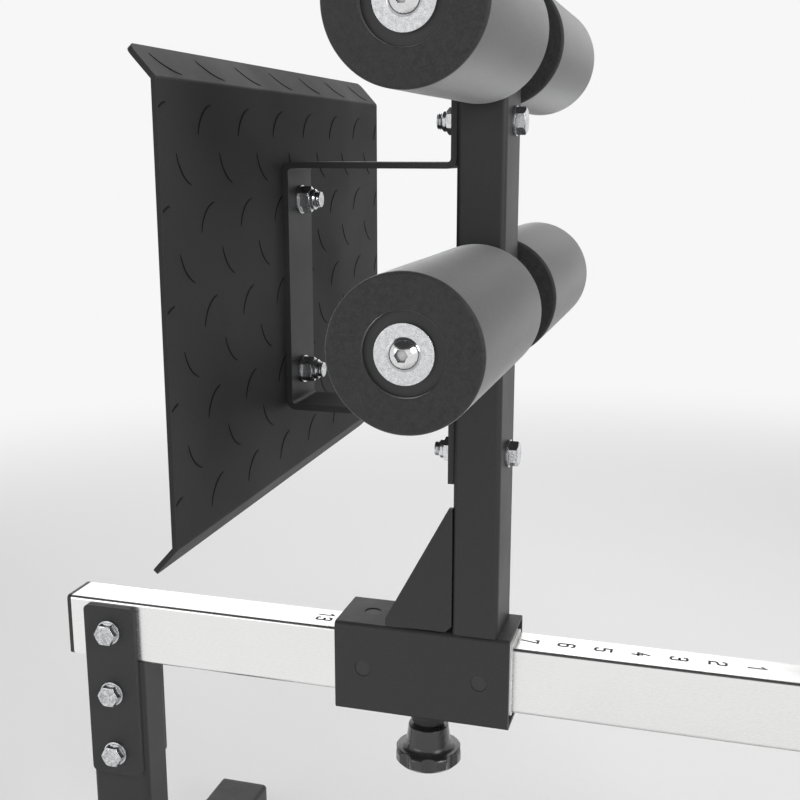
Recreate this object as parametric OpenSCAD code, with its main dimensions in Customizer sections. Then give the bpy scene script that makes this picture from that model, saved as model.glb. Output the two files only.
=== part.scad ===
// Glute ham developer: a welded and bolted tube frame with a stainless slide beam,
// an adjustable foot carriage with four foam rollers, and a split hip pad.
// Millimetres. +X runs from the foot end to the hip pads, +Z is up, the floor is z = 0.

/* [Layout] */
// Height of the slide beam's top face above the floor
beam_top = 510; // [480:5:560]
// Distance between the centres of the rear and front cross feet
foot_spacing = 1500; // [1420:10:1600]
// How far the beam and its end cap reach behind the rear leg's centre
beam_overhang = 60; // [58:1:90]
// Distance from the rear leg's centre to the front upright's centre
upright_reach = 1049; // [1020:1:1150]
// Distance from the beam cap's outer face to the carriage's centre, as set
carriage_set = 450; // [440:1:460]

/* [Tubes] */
// Wide side of the frame tubes
tube_a = 76.2; // [70:0.1:82]
// Narrow side of the frame tubes
tube_b = 50.8; // [45:0.1:56]
// Wall of the frame tubes
tube_wall = 3.2; // [2.5:0.1:5]
// Outside corner radius of the frame tubes
tube_corner = 6; // [4:0.5:8]
// Wall of the stainless slide beam
beam_wall = 3; // [2:0.1:4]
// Outside corner radius of the slide beam
beam_corner = 4.5; // [3.5:0.5:7]
// Smallest corner radius inside a tube or a cap
inner_corner = 1.2; // [0.8:0.1:1.5]

/* [Base] */
// Length of the rear cross foot
rear_foot_l = 660; // [560:10:760]
// Length of the front cross foot
front_foot_l = 900; // [800:10:1000]
// Diameter of each rubber foot
rubber_d = 62; // [50:1:70]
// Thickness of each rubber foot
rubber_t = 8; // [5:0.5:12]
// Radius of the screw recess under each rubber foot
recess_r = 7; // [5:0.5:12]
// Depth of the screw recess under each rubber foot
recess_depth = 4; // [2:0.5:4]
// Bevel round the lower edge of each rubber foot
rubber_bevel = 2; // [1:0.5:4]
// Distance from a cross foot's end to the centre of its rubber foot
rubber_inset = 48; // [40:1:80]
// Thickness of the lip on every plastic tube cap
cap_lip = 5; // [2:0.5:6]
// How far a plastic tube cap reaches into its tube
cap_plug = 16; // [10:1:25]
// Wall of a cap's hollow plug
cap_wall = 2.4; // [1.5:0.1:4]
// Play between a cap's plug and the tube around it
cap_play = 0.3; // [0.1:0.1:0.6]
// Side of the front brace's square tube
brace_side = 50.8; // [40:0.1:56]
// Height above the floor at which the brace's axis meets the upright
brace_up = 345; // [300:5:380]
// Distance from the upright's centre to where the brace's axis meets the rail
brace_out = 330; // [300:5:380]

/* [Bolted joints] */
// Thickness of the side joint plates
joint_plate_t = 8; // [6:0.5:10]
// Width of the rear joint plates
joint_plate_w = 66.6; // [56:0.1:72]
// Distance from the last rear joint bolt to the plates' lower end
joint_plate_end = 29; // [20:0.5:34]
// How far the rear joint plates start below the beam's top face
joint_plate_drop = 5; // [2:0.5:10]
// Corner radius of the joint plates
joint_plate_corner = 7; // [3:0.5:12]
// Depth of the first joint bolt below the beam's top face
joint_bolt_first = 37; // [34:1:44]
// Distance between joint bolts
joint_bolt_pitch = 80; // [70:1:84]
// Length of the front joint plates, along the beam
front_plate_l = 178; // [170:1:200]
// Distance from the beam's front end to its last joint bolt
front_bolt_inset = 30; // [24:1:36]
// Distance between the two bolts in the beam's front end
front_bolt_pitch = 50; // [36:1:54]
// Distance of the two bolts in the upright from the beam's middle
upright_bolt_half = 18; // [16:0.5:20]
// Diameter of the large bolts
bolt_d = 16; // [14:0.5:17]
// Play round a large bolt in its hole, on the diameter
bolt_play = 1; // [0.4:0.1:2]
// Width across the flats of the large bolt heads and nuts
hex_af = 24; // [22:0.5:27]
// Height of the large bolt heads
hex_h = 10; // [8:0.5:12]
// Height of the large lock nuts
nut_h = 16.5; // [14:0.5:20]
// How far a bolt's end stands out of its lock nut
thread_out = 5; // [2:0.5:10]
// Diameter of the bracket bolts
strip_bolt_d = 16; // [14:0.5:18]
// Width across the flats of the bracket bolts' heads and nuts
strip_af = 24; // [22:0.5:27]
// Height of the bracket bolts' heads
strip_head_h = 10; // [8:0.5:12]
// Height of the bracket bolts' lock nuts
strip_nut_h = 16.5; // [14:0.5:20]
// How far the bracket bolts' ends stand out of their nuts
strip_thread_out = 5; // [2:0.5:10]
// Gap between a bolt's thread and its nut or threaded hole
thread_gap = 0.1; // [0.05:0.05:0.2]
// Gap round a piece that is welded, pressed or pushed on
fit_gap = 0.1; // [0.05:0.05:0.2]

/* [Carriage] */
// Length of the sleeve along the beam
sleeve_l = 199; // [180:1:220]
// Gap all round between the beam and the sleeve's outside
sleeve_margin = 14.6; // [12:0.1:16]
// Wall of the sleeve
sleeve_wall = 4; // [3:0.1:5]
// Outside corner radius of the sleeve
sleeve_corner = 5.5; // [4.5:0.5:8]
// Gap between the liners and the inside of the sleeve
liner_seat_gap = 0.2; // [0.1:0.05:0.4]
// Length of each of the two glide liners
liner_l = 55; // [40:1:80]
// How far each liner's lip stands out of the sleeve's end
liner_out = 0.5; // [0.5:0.5:4]
// Thickness of each liner's lip round the beam
liner_lip = 3; // [2:0.5:5]
// How deep the rest of each liner lies inside the sleeve's end
liner_step = 5; // [2:0.5:10]
// Running gap between the liners and the beam
liner_gap = 0.4; // [0.2:0.1:1]
// Diameter of the liner's round fixing plugs
plug_d = 18.5; // [14:0.5:22]
// Distance from the sleeve's end to the plugs' centre
plug_inset = 33; // [25:1:40]
// How deep the plugs lie below the sleeve's surface
plug_sink = 0.8; // [0.3:0.1:1.5]
// Distance from the sleeve's centre to the foot post's centre
post_offset = 60; // [50:1:64]
// Height of the foot post's top above the beam's top face
post_top = 686; // [680:1:720]
// Length of the gussets along the sleeve
gusset_l = 75; // [60:1:90]
// Height of the gussets' top above the sleeve
gusset_h = 143; // [120:1:170]
// Thickness of the gussets
gusset_t = 6.35; // [5:0.05:8]
// Gap between the gusset and the sleeve's rounded top edge
gusset_lift = 2; // [1:0.5:5]
// Notch in the gussets that leaves room for the post's weld
gusset_notch = 7; // [4:0.5:12]
// Width of the gussets at their top
gusset_tip = 4; // [2:0.5:8]
// Height of the gussets' rear edge
gusset_toe = 8; // [4:0.5:14]

/* [Foot plate] */
// Height of the foot plate's centre above the beam's top face
foot_mid = 386; // [380:1:392]
// Width of the foot plate
foot_w = 599; // [540:1:640]
// Height of the flat part of the foot plate
foot_h = 401; // [380:1:420]
// Thickness of the foot plate
foot_t = 4.8; // [4:0.1:6]
// Length of the bent edges
flange_l = 34; // [28:1:44]
// Angle of the bent edges from the vertical
flange_tilt = 42; // [20:1:50]
// Corner radius of the bent edges
flange_corner = 9; // [5:0.5:14]
// Thickness of the hat-shaped bracket strip
strip_t = 6.4; // [5:0.1:8]
// Width of the bracket strip
strip_w = 68; // [60:1:74]
// Inside bend radius of the bracket strip
strip_bend = 4; // [3:0.5:8]
// Distance from the post's rear face to the foot plate's front face
foot_reach = 187.4; // [170:0.1:210]
// Half of the distance between the two arms of the bracket
arm_half = 129; // [120:1:136]
// Half of the distance between the two bolts in the post
post_bolt_half = 172.8; // [168:0.1:180]
// Half of the bracket's whole height
tab_half = 202; // [198:1:210]
// Half of the distance between the two bolts in the foot plate
foot_bolt_half = 92.6; // [80:0.1:100]
// Outside diameter of the flat washers
washer_d = 30; // [28:1:34]
// Thickness of the flat washers
washer_t = 3; // [2:0.5:4]

/* [Rollers] */
// Outside diameter of the foam rollers
roller_d = 131.5; // [120:0.5:140]
// Length of each foam roller
roller_l = 270; // [240:1:285]
// Distance from the foot post's side to each roller
roller_gap = 9.3; // [7:0.1:14]
// Height of the lower roller's axis above the beam's top face
lower_axis = 373.4; // [370:0.1:378]
// Height of the upper roller's axis above the beam's top face
upper_axis = 639.4; // [634:0.1:644]
// Radius of the foam's rounded ends
foam_round = 3.5; // [2:0.5:12]
// Diameter of the opening in the foam's ends
foam_bore = 70.5; // [60:0.5:80]
// Depth of the core below the foam's end face
core_sink = 6; // [4:0.5:9]
// Gap between the foam and its core
foam_gap = 0.1; // [0.05:0.05:0.2]
// Diameter of the roller axles
axle_d = 33.7; // [28:0.1:38]
// Radial running clearance of the cores on the axles
axle_clearance = 0.06; // [0.03:0.01:0.1]
// Diameter of the washers on the axles' ends
end_washer_d = 50; // [44:1:56]
// Thickness of the washers on the axles' ends
end_washer_t = 4; // [2:0.5:5]
// Diameter of the button heads in the axles' ends
button_d = 28; // [24:0.5:32]
// Height of the button heads
button_h = 8.8; // [7:0.1:11]
// Diameter of the collars between the post and the rollers
collar_d = 56; // [48:1:62]
// End play of each roller
end_play = 0.3; // [0.2:0.1:0.8]
// Length of the bushing in each end of a roller's core
bushing_l = 14; // [10:1:30]
// Wall of a roller's core between its bushings
core_wall = 3; // [2:0.5:5]
// Depth of the threaded holes in the axles' ends
thread_depth = 45; // [30:1:60]
// Room left in a threaded hole past its bolt
thread_spare = 4; // [2:1:8]

/* [Pop pin] */
// Distance between the pin holes in the beam
pin_pitch = 40; // [36:0.5:42]
// Number of pin holes in the beam
pin_count = 13; // [11:1:13]
// Diameter of the pin
pin_d = 16; // [12:0.5:18]
// Play of the pin in the beam's holes, on the diameter
pin_play = 1; // [0.4:0.1:2]
// How far the pin reaches into the beam
pin_bite = 8; // [5:0.5:10]
// Radial running clearance of the pin in its barrel
pin_clearance = 0.06; // [0.03:0.01:0.1]
// Diameter of the barrel below the sleeve
barrel_d = 44.5; // [40:0.5:46]
// How much the barrel's lower end is drawn in, on the radius
barrel_taper = 3.5; // [1:0.5:5]
// Height over which the barrel's lower end is drawn in
barrel_taper_h = 9; // [4:0.5:12]
// Length of the barrel below the sleeve
barrel_l = 20; // [16:0.5:26]
// Diameter of the barrel where it passes through the sleeve's wall
barrel_neck_d = 31; // [30:0.5:34]
// Thickness of the barrel's two end walls
barrel_end = 3; // [2:0.5:4]
// Gap between the barrel and the beam
barrel_gap = 1; // [0.6:0.1:2]
// Gap between the pin's collar, the spring and what they rest on
rest_gap = 0.3; // [0.1:0.1:0.5]
// Height of the pin's collar
pin_collar_h = 3; // [2:0.5:4]
// Radial gap between the pin's collar and the barrel
collar_gap = 0.4; // [0.2:0.1:1]
// Width of the bevel round the pin's tip
pin_bevel = 2; // [1:0.5:4]
// Height of the bevel round the pin's tip
pin_bevel_h = 2.5; // [1:0.5:5]
// Diameter of the spring's wire
spring_wire = 1.6; // [1:0.1:1.8]
// Number of the spring's coils
spring_turns = 6; // [4:1:6]
// Gap between the barrel and the knob
knob_gap = 4; // [3:0.5:8]
// Height of the knob
knob_h = 45; // [38:0.5:50]
// Diameter of the knob's neck at its top
knob_neck_d = 46; // [40:0.5:50]
// Diameter of the knob's skirt
knob_d = 76.5; // [66:0.5:84]
// Number of finger flutes round the skirt
knob_flutes = 8; // [6:1:10]
// Radius of the finger flutes
flute_r = 16; // [12:0.5:20]
// Depth of the finger flutes in the skirt
flute_depth = 3.8; // [2:0.1:5]
// Angle of the first finger flute from +X
flute_turn = 15; // [0:1:45]
// Height of the finger flutes
flute_h = 26; // [20:1:30]
// Height of the straight part of the skirt
skirt_h = 13; // [8:0.5:14]
// Bevel round the skirt's lower edge
skirt_bevel = 4; // [2:0.5:6]
// Radius of the shoulder between the skirt and the flare
skirt_round = 4.5; // [2:0.5:6]
// Height of the flare
flare_h = 8; // [6:0.5:14]
// How much wider the flare ends than the neck
flare_lip = 2.5; // [1:0.5:6]
// Bevel round the neck's top
neck_bevel = 0.8; // [0.5:0.1:3]
// Depth of the pin's seat in the knob
knob_seat = 26; // [20:1:30]

/* [Hip pads] */
// Height of the top of the hip pads above the floor
pad_top = 1040; // [1000:5:1060]
// Length of each hip pad, from back to front
pad_l = 320; // [280:5:360]
// Height of each hip pad
pad_h = 175; // [150:5:200]
// Width of each hip pad
pad_w = 235; // [200:5:260]
// Gap between the two hip pads
pad_gap = 80; // [60:2:100]
// Thickness of the wooden boards under the pads
board_t = 18; // [12:1:24]
// How much smaller the boards are than the pads, on each side
board_inset = 6; // [4:1:20]
// Thickness of the steel plates under the boards
pad_plate_t = 6; // [4:0.5:8]
// Length of the steel plates, from back to front
pad_plate_l = 230; // [200:5:260]
// Width of the steel plates
pad_plate_w = 150; // [120:5:180]
// How much the pads' middle stands proud of their edges
pad_crown = 5; // [2:0.5:8]
// Depth of the sewn seams round the pads
seam_depth = 3; // [1:0.5:4]
// Distance of the seams from the pads' sides
seam_inset = 30; // [24:1:40]
// Width of the sewn seams
seam_w = 7; // [4:0.5:10]
// Radius of the pads' rounded sides
pad_round = 20; // [14:1:26]
// How far the pads are drawn in above the boards
pad_tuck = 5; // [2:0.5:5.5]
// Height over which the pads are drawn in
tuck_h = 24; // [16:1:34]
// Corner radius of the boards
board_corner = 24; // [12:1:40]
// Corner radius of the steel plates
pad_plate_corner = 12; // [6:1:20]
// Diameter of the pad screws
screw_d = 8; // [6:0.5:10]
// Length of the pad screws
screw_l = 18; // [14:1:22]
// Play round a pad screw in its hole, on the diameter
screw_play = 0.6; // [0.2:0.1:1]
// Distance of the pad screws from the plates' front and rear edges
screw_inset_x = 22; // [16:1:30]
// Distance of the pad screws from the plates' sides
screw_inset_y = 20; // [16:1:26]

/* [Handles and wheels] */
// Diameter of the handle tubes
handle_d = 32; // [28:1:36]
// Wall of the handle tubes
handle_wall = 2.5; // [1.5:0.5:4]
// Length of the handle tubes in front of the crossbar
handle_l = 285; // [250:5:320]
// Distance of the handles from the machine's middle
handle_y = 212; // [200:1:225]
// Length of the rubber grips
grip_l = 125; // [110:5:140]
// Thickness of the rubber grips
grip_t = 3.5; // [2:0.5:5]
// How far the grips' flange stands out
grip_flange = 4; // [2:0.5:8]
// Thickness of the grips' flange
grip_flange_t = 5; // [3:0.5:8]
// Number of finger rings on each grip
grip_rings = 6; // [4:1:8]
// Radius of the finger rings' section
ring_r = 3; // [2:0.5:4]
// Depth of the finger rings
ring_depth = 1.5; // [0.5:0.5:1.5]
// Diameter of the transport wheels
wheel_d = 75; // [66:1:80]
// Width of the transport wheels
wheel_w = 24; // [20:1:30]
// Distance from the front foot's face to the wheels' axis
wheel_reach = 42; // [41:0.5:50]
// Distance of the wheels from the machine's middle
wheel_y = 250; // [200:5:320]
// Clearance between the wheels and the floor
wheel_lift = 6; // [4:0.5:10]
// Diameter of the wheels' axle bolts
wheel_axle_d = 12; // [10:0.5:14]
// Width across the flats of the wheel bolts' heads and nuts
wheel_bolt_af = 18; // [16:0.5:21]
// Height of the wheel bolts' heads
wheel_head_h = 7.5; // [6:0.5:9]
// Height of the wheel bolts' nuts
wheel_nut_h = 12; // [9:0.5:14]
// How far the wheel bolts' ends stand out of their nuts
wheel_thread_out = 2; // [1:0.5:5]
// Thickness of the side plates that hold the wheels
ear_t = 5; // [4:0.5:8]
// Gap between a wheel and its side plates
ear_gap = 1.5; // [1:0.5:3]
// Radius of the side plates round the axle
ear_r = 13; // [11:0.5:16]
// Height of the side plates where they meet the cross foot
ear_root = 34.5; // [26:0.5:36]
// Radius of the wheels' hub
hub_r = 14; // [11:0.5:18]
// Thickness of the wheels' web
web_t = 13.4; // [8:0.1:18]
// Depth of the wheels' tyre
tyre_depth = 16; // [12:0.5:18]
// Radius of the tyre's shoulders
tyre_round = 5; // [3:0.5:7]

/* [Hidden] */
$fn = 48;
eps = 0.01;

// Shapes of standard fasteners, as shares of their own sizes: the radius of a head's flat face,
// the hexagonal part of a lock nut and its collar's radius, and a button head's socket
hex_face = 0.475;
nut_hex_share = 0.7;
nut_collar = 0.45;
nut_bevel = 1.5;
socket_depth = 0.6;
socket_af = 0.625;

// Colours as the photograph shows them
coat = "#3a3a3a";
stainless = "#d9d9d7";
zinc = "#c3c6ca";
foam = "#262626";
plastic = "#1d1d1d";

// Places along the machine: the floor box is centred on x = 0
overall_l = beam_overhang + foot_spacing + tube_a/2 + wheel_reach + wheel_d/2;
beam_x0 = -overall_l/2;
leg_x = beam_x0 + beam_overhang;
upright_x = leg_x + upright_reach;
front_x = leg_x + foot_spacing;
sleeve_x = beam_x0 + carriage_set;
post_x = sleeve_x + post_offset;
post_back = post_x - tube_b/2;
beam_x1 = upright_x - tube_a/2;
foot_x = post_back - foot_reach;

// Heights
base_top = rubber_t + tube_b;
base_z = rubber_t + tube_b/2;
beam_bottom = beam_top - tube_a;
beam_z = beam_top - tube_a/2;
sleeve_h = tube_a + 2*sleeve_margin;
sleeve_w = tube_b + 2*sleeve_margin;
sleeve_top = beam_top + sleeve_margin;
sleeve_bottom = beam_bottom - sleeve_margin;
crossbar_top = pad_top - pad_h - board_t - pad_plate_t;
crossbar_bottom = crossbar_top - tube_b;
crossbar_z = crossbar_top - tube_b/2;
rear_plate_h = joint_bolt_first + 2*joint_bolt_pitch + joint_plate_end - joint_plate_drop;
rear_plate_z = beam_top - joint_plate_drop - rear_plate_h/2;
pad_y = (pad_gap + pad_w)/2;
crossbar_l = 2*pad_y + pad_plate_w;
lower_z = beam_top + lower_axis;
upper_z = beam_top + upper_axis;
foot_z = beam_top + foot_mid;

// Roller and axle places, measured out from the machine's middle
roller_in = tube_a/2 + roller_gap;
roller_out = roller_in + roller_l;
core_out = roller_out - core_sink;
axle_half = core_out + end_play;
bolt_hole_d = bolt_d + bolt_play;
strip_hole_d = strip_bolt_d + bolt_play;

// Pop pin heights
barrel_bottom = sleeve_bottom - barrel_l;
barrel_top = beam_bottom - barrel_gap;
cavity_d = barrel_neck_d - 2*barrel_end;
knob_top = barrel_bottom - knob_gap;
knob_bottom = knob_top - knob_h;

// Shapes used again and again

// A rectangle with round corners, centred
module rounded_rect(w, h, r) {
    square([w - 2*r, h], center = true);
    square([w, h - 2*r], center = true);
    for (sx = [-1, 1], sy = [-1, 1])
        translate([sx*(w/2 - r), sy*(h/2 - r)]) circle(r);
}

// The section of a rectangular tube
module tube_section(w, h, wall, r) {
    difference() {
        rounded_rect(w, h, r);
        rounded_rect(w - 2*wall, h - 2*wall, max(r - wall, inner_corner));
    }
}

// Turns a section's x to Y and its y to Z, and extrudes it from x0 to x1
module along_x(x0, x1) {
    translate([x0, 0, 0]) rotate([90, 0, 90]) linear_extrude(x1 - x0) children();
}

// Turns a section's y to Z and extrudes it by l along Y, centred
module along_y(l) {
    rotate([90, 0, 0]) linear_extrude(l, center = true) children();
}

// A round hole or bar along Y, centred
module bar_y(d, l) {
    rotate([90, 0, 0]) cylinder(d = d, h = l, center = true);
}

// A round hole or bar along X, from x0 to x1
module bar_x(d, x0, x1) {
    translate([x0, 0, 0]) rotate([0, 90, 0]) cylinder(d = d, h = x1 - x0);
}

// Its children on both sides of the machine
module both_sides() {
    for (s = [0, 1]) mirror([0, s, 0]) children();
}

// A plastic cap: a lip over the tube's end and a hollow plug in it, +Z out of the tube
module tube_cap(w, h, wall, r) {
    in_w = w - 2*(wall + cap_play);
    in_h = h - 2*(wall + cap_play);
    in_r = max(r - wall, inner_corner);
    linear_extrude(cap_lip) rounded_rect(w, h, r);
    translate([0, 0, -cap_plug]) linear_extrude(cap_plug + eps)
        tube_section(in_w, in_h, cap_wall, in_r);
}

// A hexagon with its upper corners turned off at 30 degrees, from z = 0 to z = h
module hexagon(af, h) {
    face_r = af*hex_face;
    rim = af/2/cos(30) + 1;
    intersection() {
        cylinder(r = af/2/cos(30), h = h, $fn = 6);
        rotate_extrude()
            polygon([[0, 0], [rim, 0], [rim, h - (rim - face_r)*tan(30)], [face_r, h], [0, h]]);
    }
}

// A hexagon bolt: its seat is z = 0, its head goes up and its shank down
module hex_bolt(d, af, h, l) {
    hexagon(af, h);
    translate([0, 0, -l]) cylinder(d = d, h = l + eps);
}

// A lock nut with its round collar: its seat is z = 0 and it goes up
module lock_nut(d, af, h) {
    hex_part = h*nut_hex_share;
    collar_r = af*nut_collar;
    difference() {
        union() {
            hexagon(af, hex_part);
            rotate_extrude()
                polygon([[0, hex_part - 1], [collar_r, hex_part - 1], [collar_r, h - nut_bevel],
                         [collar_r - nut_bevel, h], [0, h]]);
        }
        translate([0, 0, -1]) cylinder(d = d + 2*thread_gap, h = h + 2);
    }
}

// A flat washer, from z = 0 up
module flat_washer(hole_d) {
    difference() {
        cylinder(d = washer_d, h = washer_t);
        translate([0, 0, -1]) cylinder(d = hole_d, h = washer_t + 2);
    }
}

// A low domed screw head with a hexagon socket, seat at z = 0, shank down
module button_bolt(d, head_d, head_h, l) {
    dome_r = (pow(head_d/2, 2) + pow(head_h, 2))/(2*head_h);
    difference() {
        intersection() {
            translate([0, 0, head_h - dome_r]) sphere(dome_r);
            cylinder(d = head_d, h = head_h);
        }
        translate([0, 0, head_h*(1 - socket_depth)])
            cylinder(d = d*socket_af/cos(30), h = head_h, $fn = 6);
    }
    translate([0, 0, -l]) cylinder(d = d, h = l + eps);
}

// Frame

// Stainless beam with bolt holes through its sides and pin holes in its underside
module slide_beam() color(stainless) difference() {
    translate([0, 0, beam_z]) along_x(beam_x0 + cap_lip, beam_x1)
        tube_section(tube_b, tube_a, beam_wall, beam_corner);
    translate([leg_x, 0, rear_bolt_z(0)]) bar_y(bolt_hole_d, tube_a);
    for (x = front_bolts_beam) translate([x, 0, beam_z]) bar_y(bolt_hole_d, tube_a);
    for (i = [0 : pin_count - 1])
        translate([sleeve_x + (i - floor(pin_count/2))*pin_pitch, 0, beam_bottom - 1])
            cylinder(d = pin_d + pin_play, h = beam_wall + 2);
}

module beam_end_cap() color(plastic)
    translate([beam_x0 + cap_lip, 0, beam_z]) rotate([0, -90, 0]) rotate([0, 0, 90])
        tube_cap(tube_b, tube_a, beam_wall, beam_corner);

module rear_leg() color(coat) difference() {
    translate([leg_x, 0, base_top]) linear_extrude(beam_bottom - base_top)
        tube_section(tube_a, tube_b, tube_wall, tube_corner);
    for (i = [1, 2]) translate([leg_x, 0, rear_bolt_z(i)]) bar_y(bolt_hole_d, tube_a);
}

module cross_foot(x, l) {
    translate([x, 0, base_z]) along_y(l) tube_section(tube_a, tube_b, tube_wall, tube_corner);
}

module rear_foot() color(coat) cross_foot(leg_x, rear_foot_l);

module front_foot() color(coat) cross_foot(front_x, front_foot_l);

module base_rail() color(coat)
    translate([0, 0, base_z]) along_x(leg_x + tube_a/2, front_x - tube_a/2)
        tube_section(tube_a, tube_b, tube_wall, tube_corner);

module foot_end_caps() color(plastic)
    for (f = [[leg_x, rear_foot_l], [front_x, front_foot_l]]) both_sides()
        translate([f[0], f[1]/2, base_z]) rotate([-90, 0, 0])
            tube_cap(tube_a, tube_b, tube_wall, tube_corner);

// Round feet with a bevelled edge and a recess for their fixing screw
module rubber_feet() color(plastic)
    for (f = [[leg_x, rear_foot_l], [front_x, front_foot_l]]) both_sides()
        translate([f[0], f[1]/2 - rubber_inset, 0]) rotate_extrude()
            polygon([[0, rubber_t], [0, recess_depth], [recess_r, recess_depth], [recess_r, 0],
                     [rubber_d/2 - rubber_bevel, 0], [rubber_d/2, rubber_bevel],
                     [rubber_d/2, rubber_t]]);

// Rear joint: a plate on each side laps the beam and the leg

module rear_joint_plates() color(coat) both_sides()
    translate([leg_x, tube_b/2, rear_plate_z])
        rotate([-90, 0, 0]) linear_extrude(joint_plate_t) difference() {
            rounded_rect(joint_plate_w, rear_plate_h, joint_plate_corner);
            for (i = [0 : 2]) translate([0, rear_plate_z - rear_bolt_z(i)])
                circle(d = bolt_hole_d);
        }

// Height of rear joint bolt i, counted from the top
function rear_bolt_z(i) = beam_top - joint_bolt_first - i*joint_bolt_pitch;

joint_grip = tube_b + 2*joint_plate_t;
joint_bolt_l = joint_grip + 2*washer_t + nut_h + thread_out;

// Its child at the head end of a joint bolt at x, z, off the plate by the washer or by lift
module at_bolt_head(x, z, lift = washer_t) {
    translate([x, -joint_grip/2 - lift, z]) rotate([90, 0, 0]) children();
}

// Its child at the nut end of a joint bolt at x, z, off the plate by the washer or by lift
module at_bolt_nut(x, z, lift = washer_t) {
    translate([x, joint_grip/2 + lift, z]) rotate([-90, 0, 0]) children();
}

module rear_joint_bolts() color(zinc) for (i = [0 : 2])
    at_bolt_head(leg_x, rear_bolt_z(i))
        hex_bolt(bolt_d, hex_af, hex_h, joint_bolt_l);

module rear_joint_nuts() color(zinc) for (i = [0 : 2])
    at_bolt_nut(leg_x, rear_bolt_z(i))
        lock_nut(bolt_d, hex_af, nut_h);

// Front joint: plates along the beam's end and across the upright

front_plate_x1 = upright_x + joint_plate_w/2;
front_plate_x = front_plate_x1 - front_plate_l/2;
front_bolts_beam = [for (i = [0, 1]) beam_x1 - front_bolt_inset - i*front_bolt_pitch];

module front_upright() color(coat) difference() {
    translate([upright_x, 0, base_top]) linear_extrude(crossbar_bottom - base_top)
        tube_section(tube_a, tube_b, tube_wall, tube_corner);
    for (s = [-1, 1]) translate([upright_x, 0, beam_z + s*upright_bolt_half])
        bar_y(bolt_hole_d, tube_a);
}

module front_joint_plates() color(coat) both_sides()
    translate([front_plate_x, tube_b/2, beam_z]) rotate([-90, 0, 0])
        linear_extrude(joint_plate_t) difference() {
            rounded_rect(front_plate_l, joint_plate_w, joint_plate_corner);
            for (x = front_bolts_beam) translate([x - front_plate_x, 0]) circle(d = bolt_hole_d);
            for (s = [-1, 1]) translate([upright_x - front_plate_x, s*upright_bolt_half])
                circle(d = bolt_hole_d);
        }

module front_joint_bolts() color(zinc) {
    for (x = front_bolts_beam) at_bolt_head(x, beam_z)
        hex_bolt(bolt_d, hex_af, hex_h, joint_bolt_l);
    for (s = [-1, 1]) at_bolt_head(upright_x, beam_z + s*upright_bolt_half)
        hex_bolt(bolt_d, hex_af, hex_h, joint_bolt_l);
}

module front_joint_nuts() color(zinc) {
    for (x = front_bolts_beam) at_bolt_nut(x, beam_z) lock_nut(bolt_d, hex_af, nut_h);
    for (s = [-1, 1]) at_bolt_nut(upright_x, beam_z + s*upright_bolt_half)
        lock_nut(bolt_d, hex_af, nut_h);
}

// A washer under each joint bolt's head and under its nut
joint_bolt_places = concat(
    [for (i = [0 : 2]) [leg_x, rear_bolt_z(i)]],
    [for (x = front_bolts_beam) [x, beam_z]],
    [for (s = [-1, 1]) [upright_x, beam_z + s*upright_bolt_half]]);

module joint_washers() color(zinc) for (p = joint_bolt_places) {
    at_bolt_head(p.x, p.y, 0) flat_washer(bolt_hole_d);
    at_bolt_nut(p.x, p.y, 0) flat_washer(bolt_hole_d);
}

// Brace from the upright down to the base rail, cut flush with both
module front_brace() color(coat) {
    rise = brace_up - base_z;
    reach = norm([rise, brace_out]) + tube_a;
    difference() {
        translate([upright_x, 0, brace_up]) rotate([0, atan2(brace_out, -rise), 0])
            linear_extrude(reach) tube_section(brace_side, brace_side, tube_wall, tube_corner);
        translate([upright_x - tube_a*1.5, -tube_a, 0]) cube([tube_a*2, tube_a*2, beam_top]);
        translate([upright_x, -tube_a, base_top - beam_top])
            cube([foot_spacing, tube_a*2, beam_top]);
    }
}

// Hip pads and what carries them

module pad_crossbar() color(coat)
    translate([upright_x, 0, crossbar_z]) along_y(crossbar_l)
        tube_section(tube_a, tube_b, tube_wall, tube_corner);

module crossbar_caps() color(plastic) both_sides()
    translate([upright_x, crossbar_l/2, crossbar_z]) rotate([-90, 0, 0])
        tube_cap(tube_a, tube_b, tube_wall, tube_corner);

pad_screw_x = pad_plate_l/2 - screw_inset_x;
pad_screw_y = pad_plate_w/2 - screw_inset_y;

// Its child at each of the eight pad screws, at height z
module at_pad_screws(z) {
    both_sides() for (sx = [-1, 1], sy = [-1, 1])
        translate([upright_x + sx*pad_screw_x, pad_y + sy*pad_screw_y, z]) children();
}

module pad_plates() color(coat) difference() {
    both_sides() translate([upright_x, pad_y, crossbar_top]) linear_extrude(pad_plate_t)
        rounded_rect(pad_plate_l, pad_plate_w, pad_plate_corner);
    at_pad_screws(crossbar_top - 1) cylinder(d = screw_d + screw_play, h = pad_plate_t + 2);
}

module pad_boards() color("#b08a5a") difference() {
    both_sides() translate([upright_x, pad_y, crossbar_top + pad_plate_t])
        linear_extrude(board_t)
            rounded_rect(pad_l - 2*board_inset, pad_w - 2*board_inset, board_corner);
    at_pad_screws(crossbar_top + pad_plate_t - 1)
        cylinder(d = screw_d + screw_play, h = screw_l - pad_plate_t + 2);
}

module pad_screws() color(zinc) at_pad_screws(crossbar_top) rotate([180, 0, 0])
    button_bolt(screw_d, screw_d*2, screw_d*0.55, screw_l);

// A half-moon cushion: its section is a squared half ellipse, which is a little smaller
// at the sides, drawn in at the sewn seams and under the board's edge, and crowned between
pad_rows = 26;
pad_cols = 26;
// Below 1 the section is fuller than an ellipse
pad_squareness = 0.82;
// How much of a quarter circle the rounded sides turn through
side_turn = 0.94;
// Height of the middle point of each flat side, as a share of the pad's
side_hub = 0.4;

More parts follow.
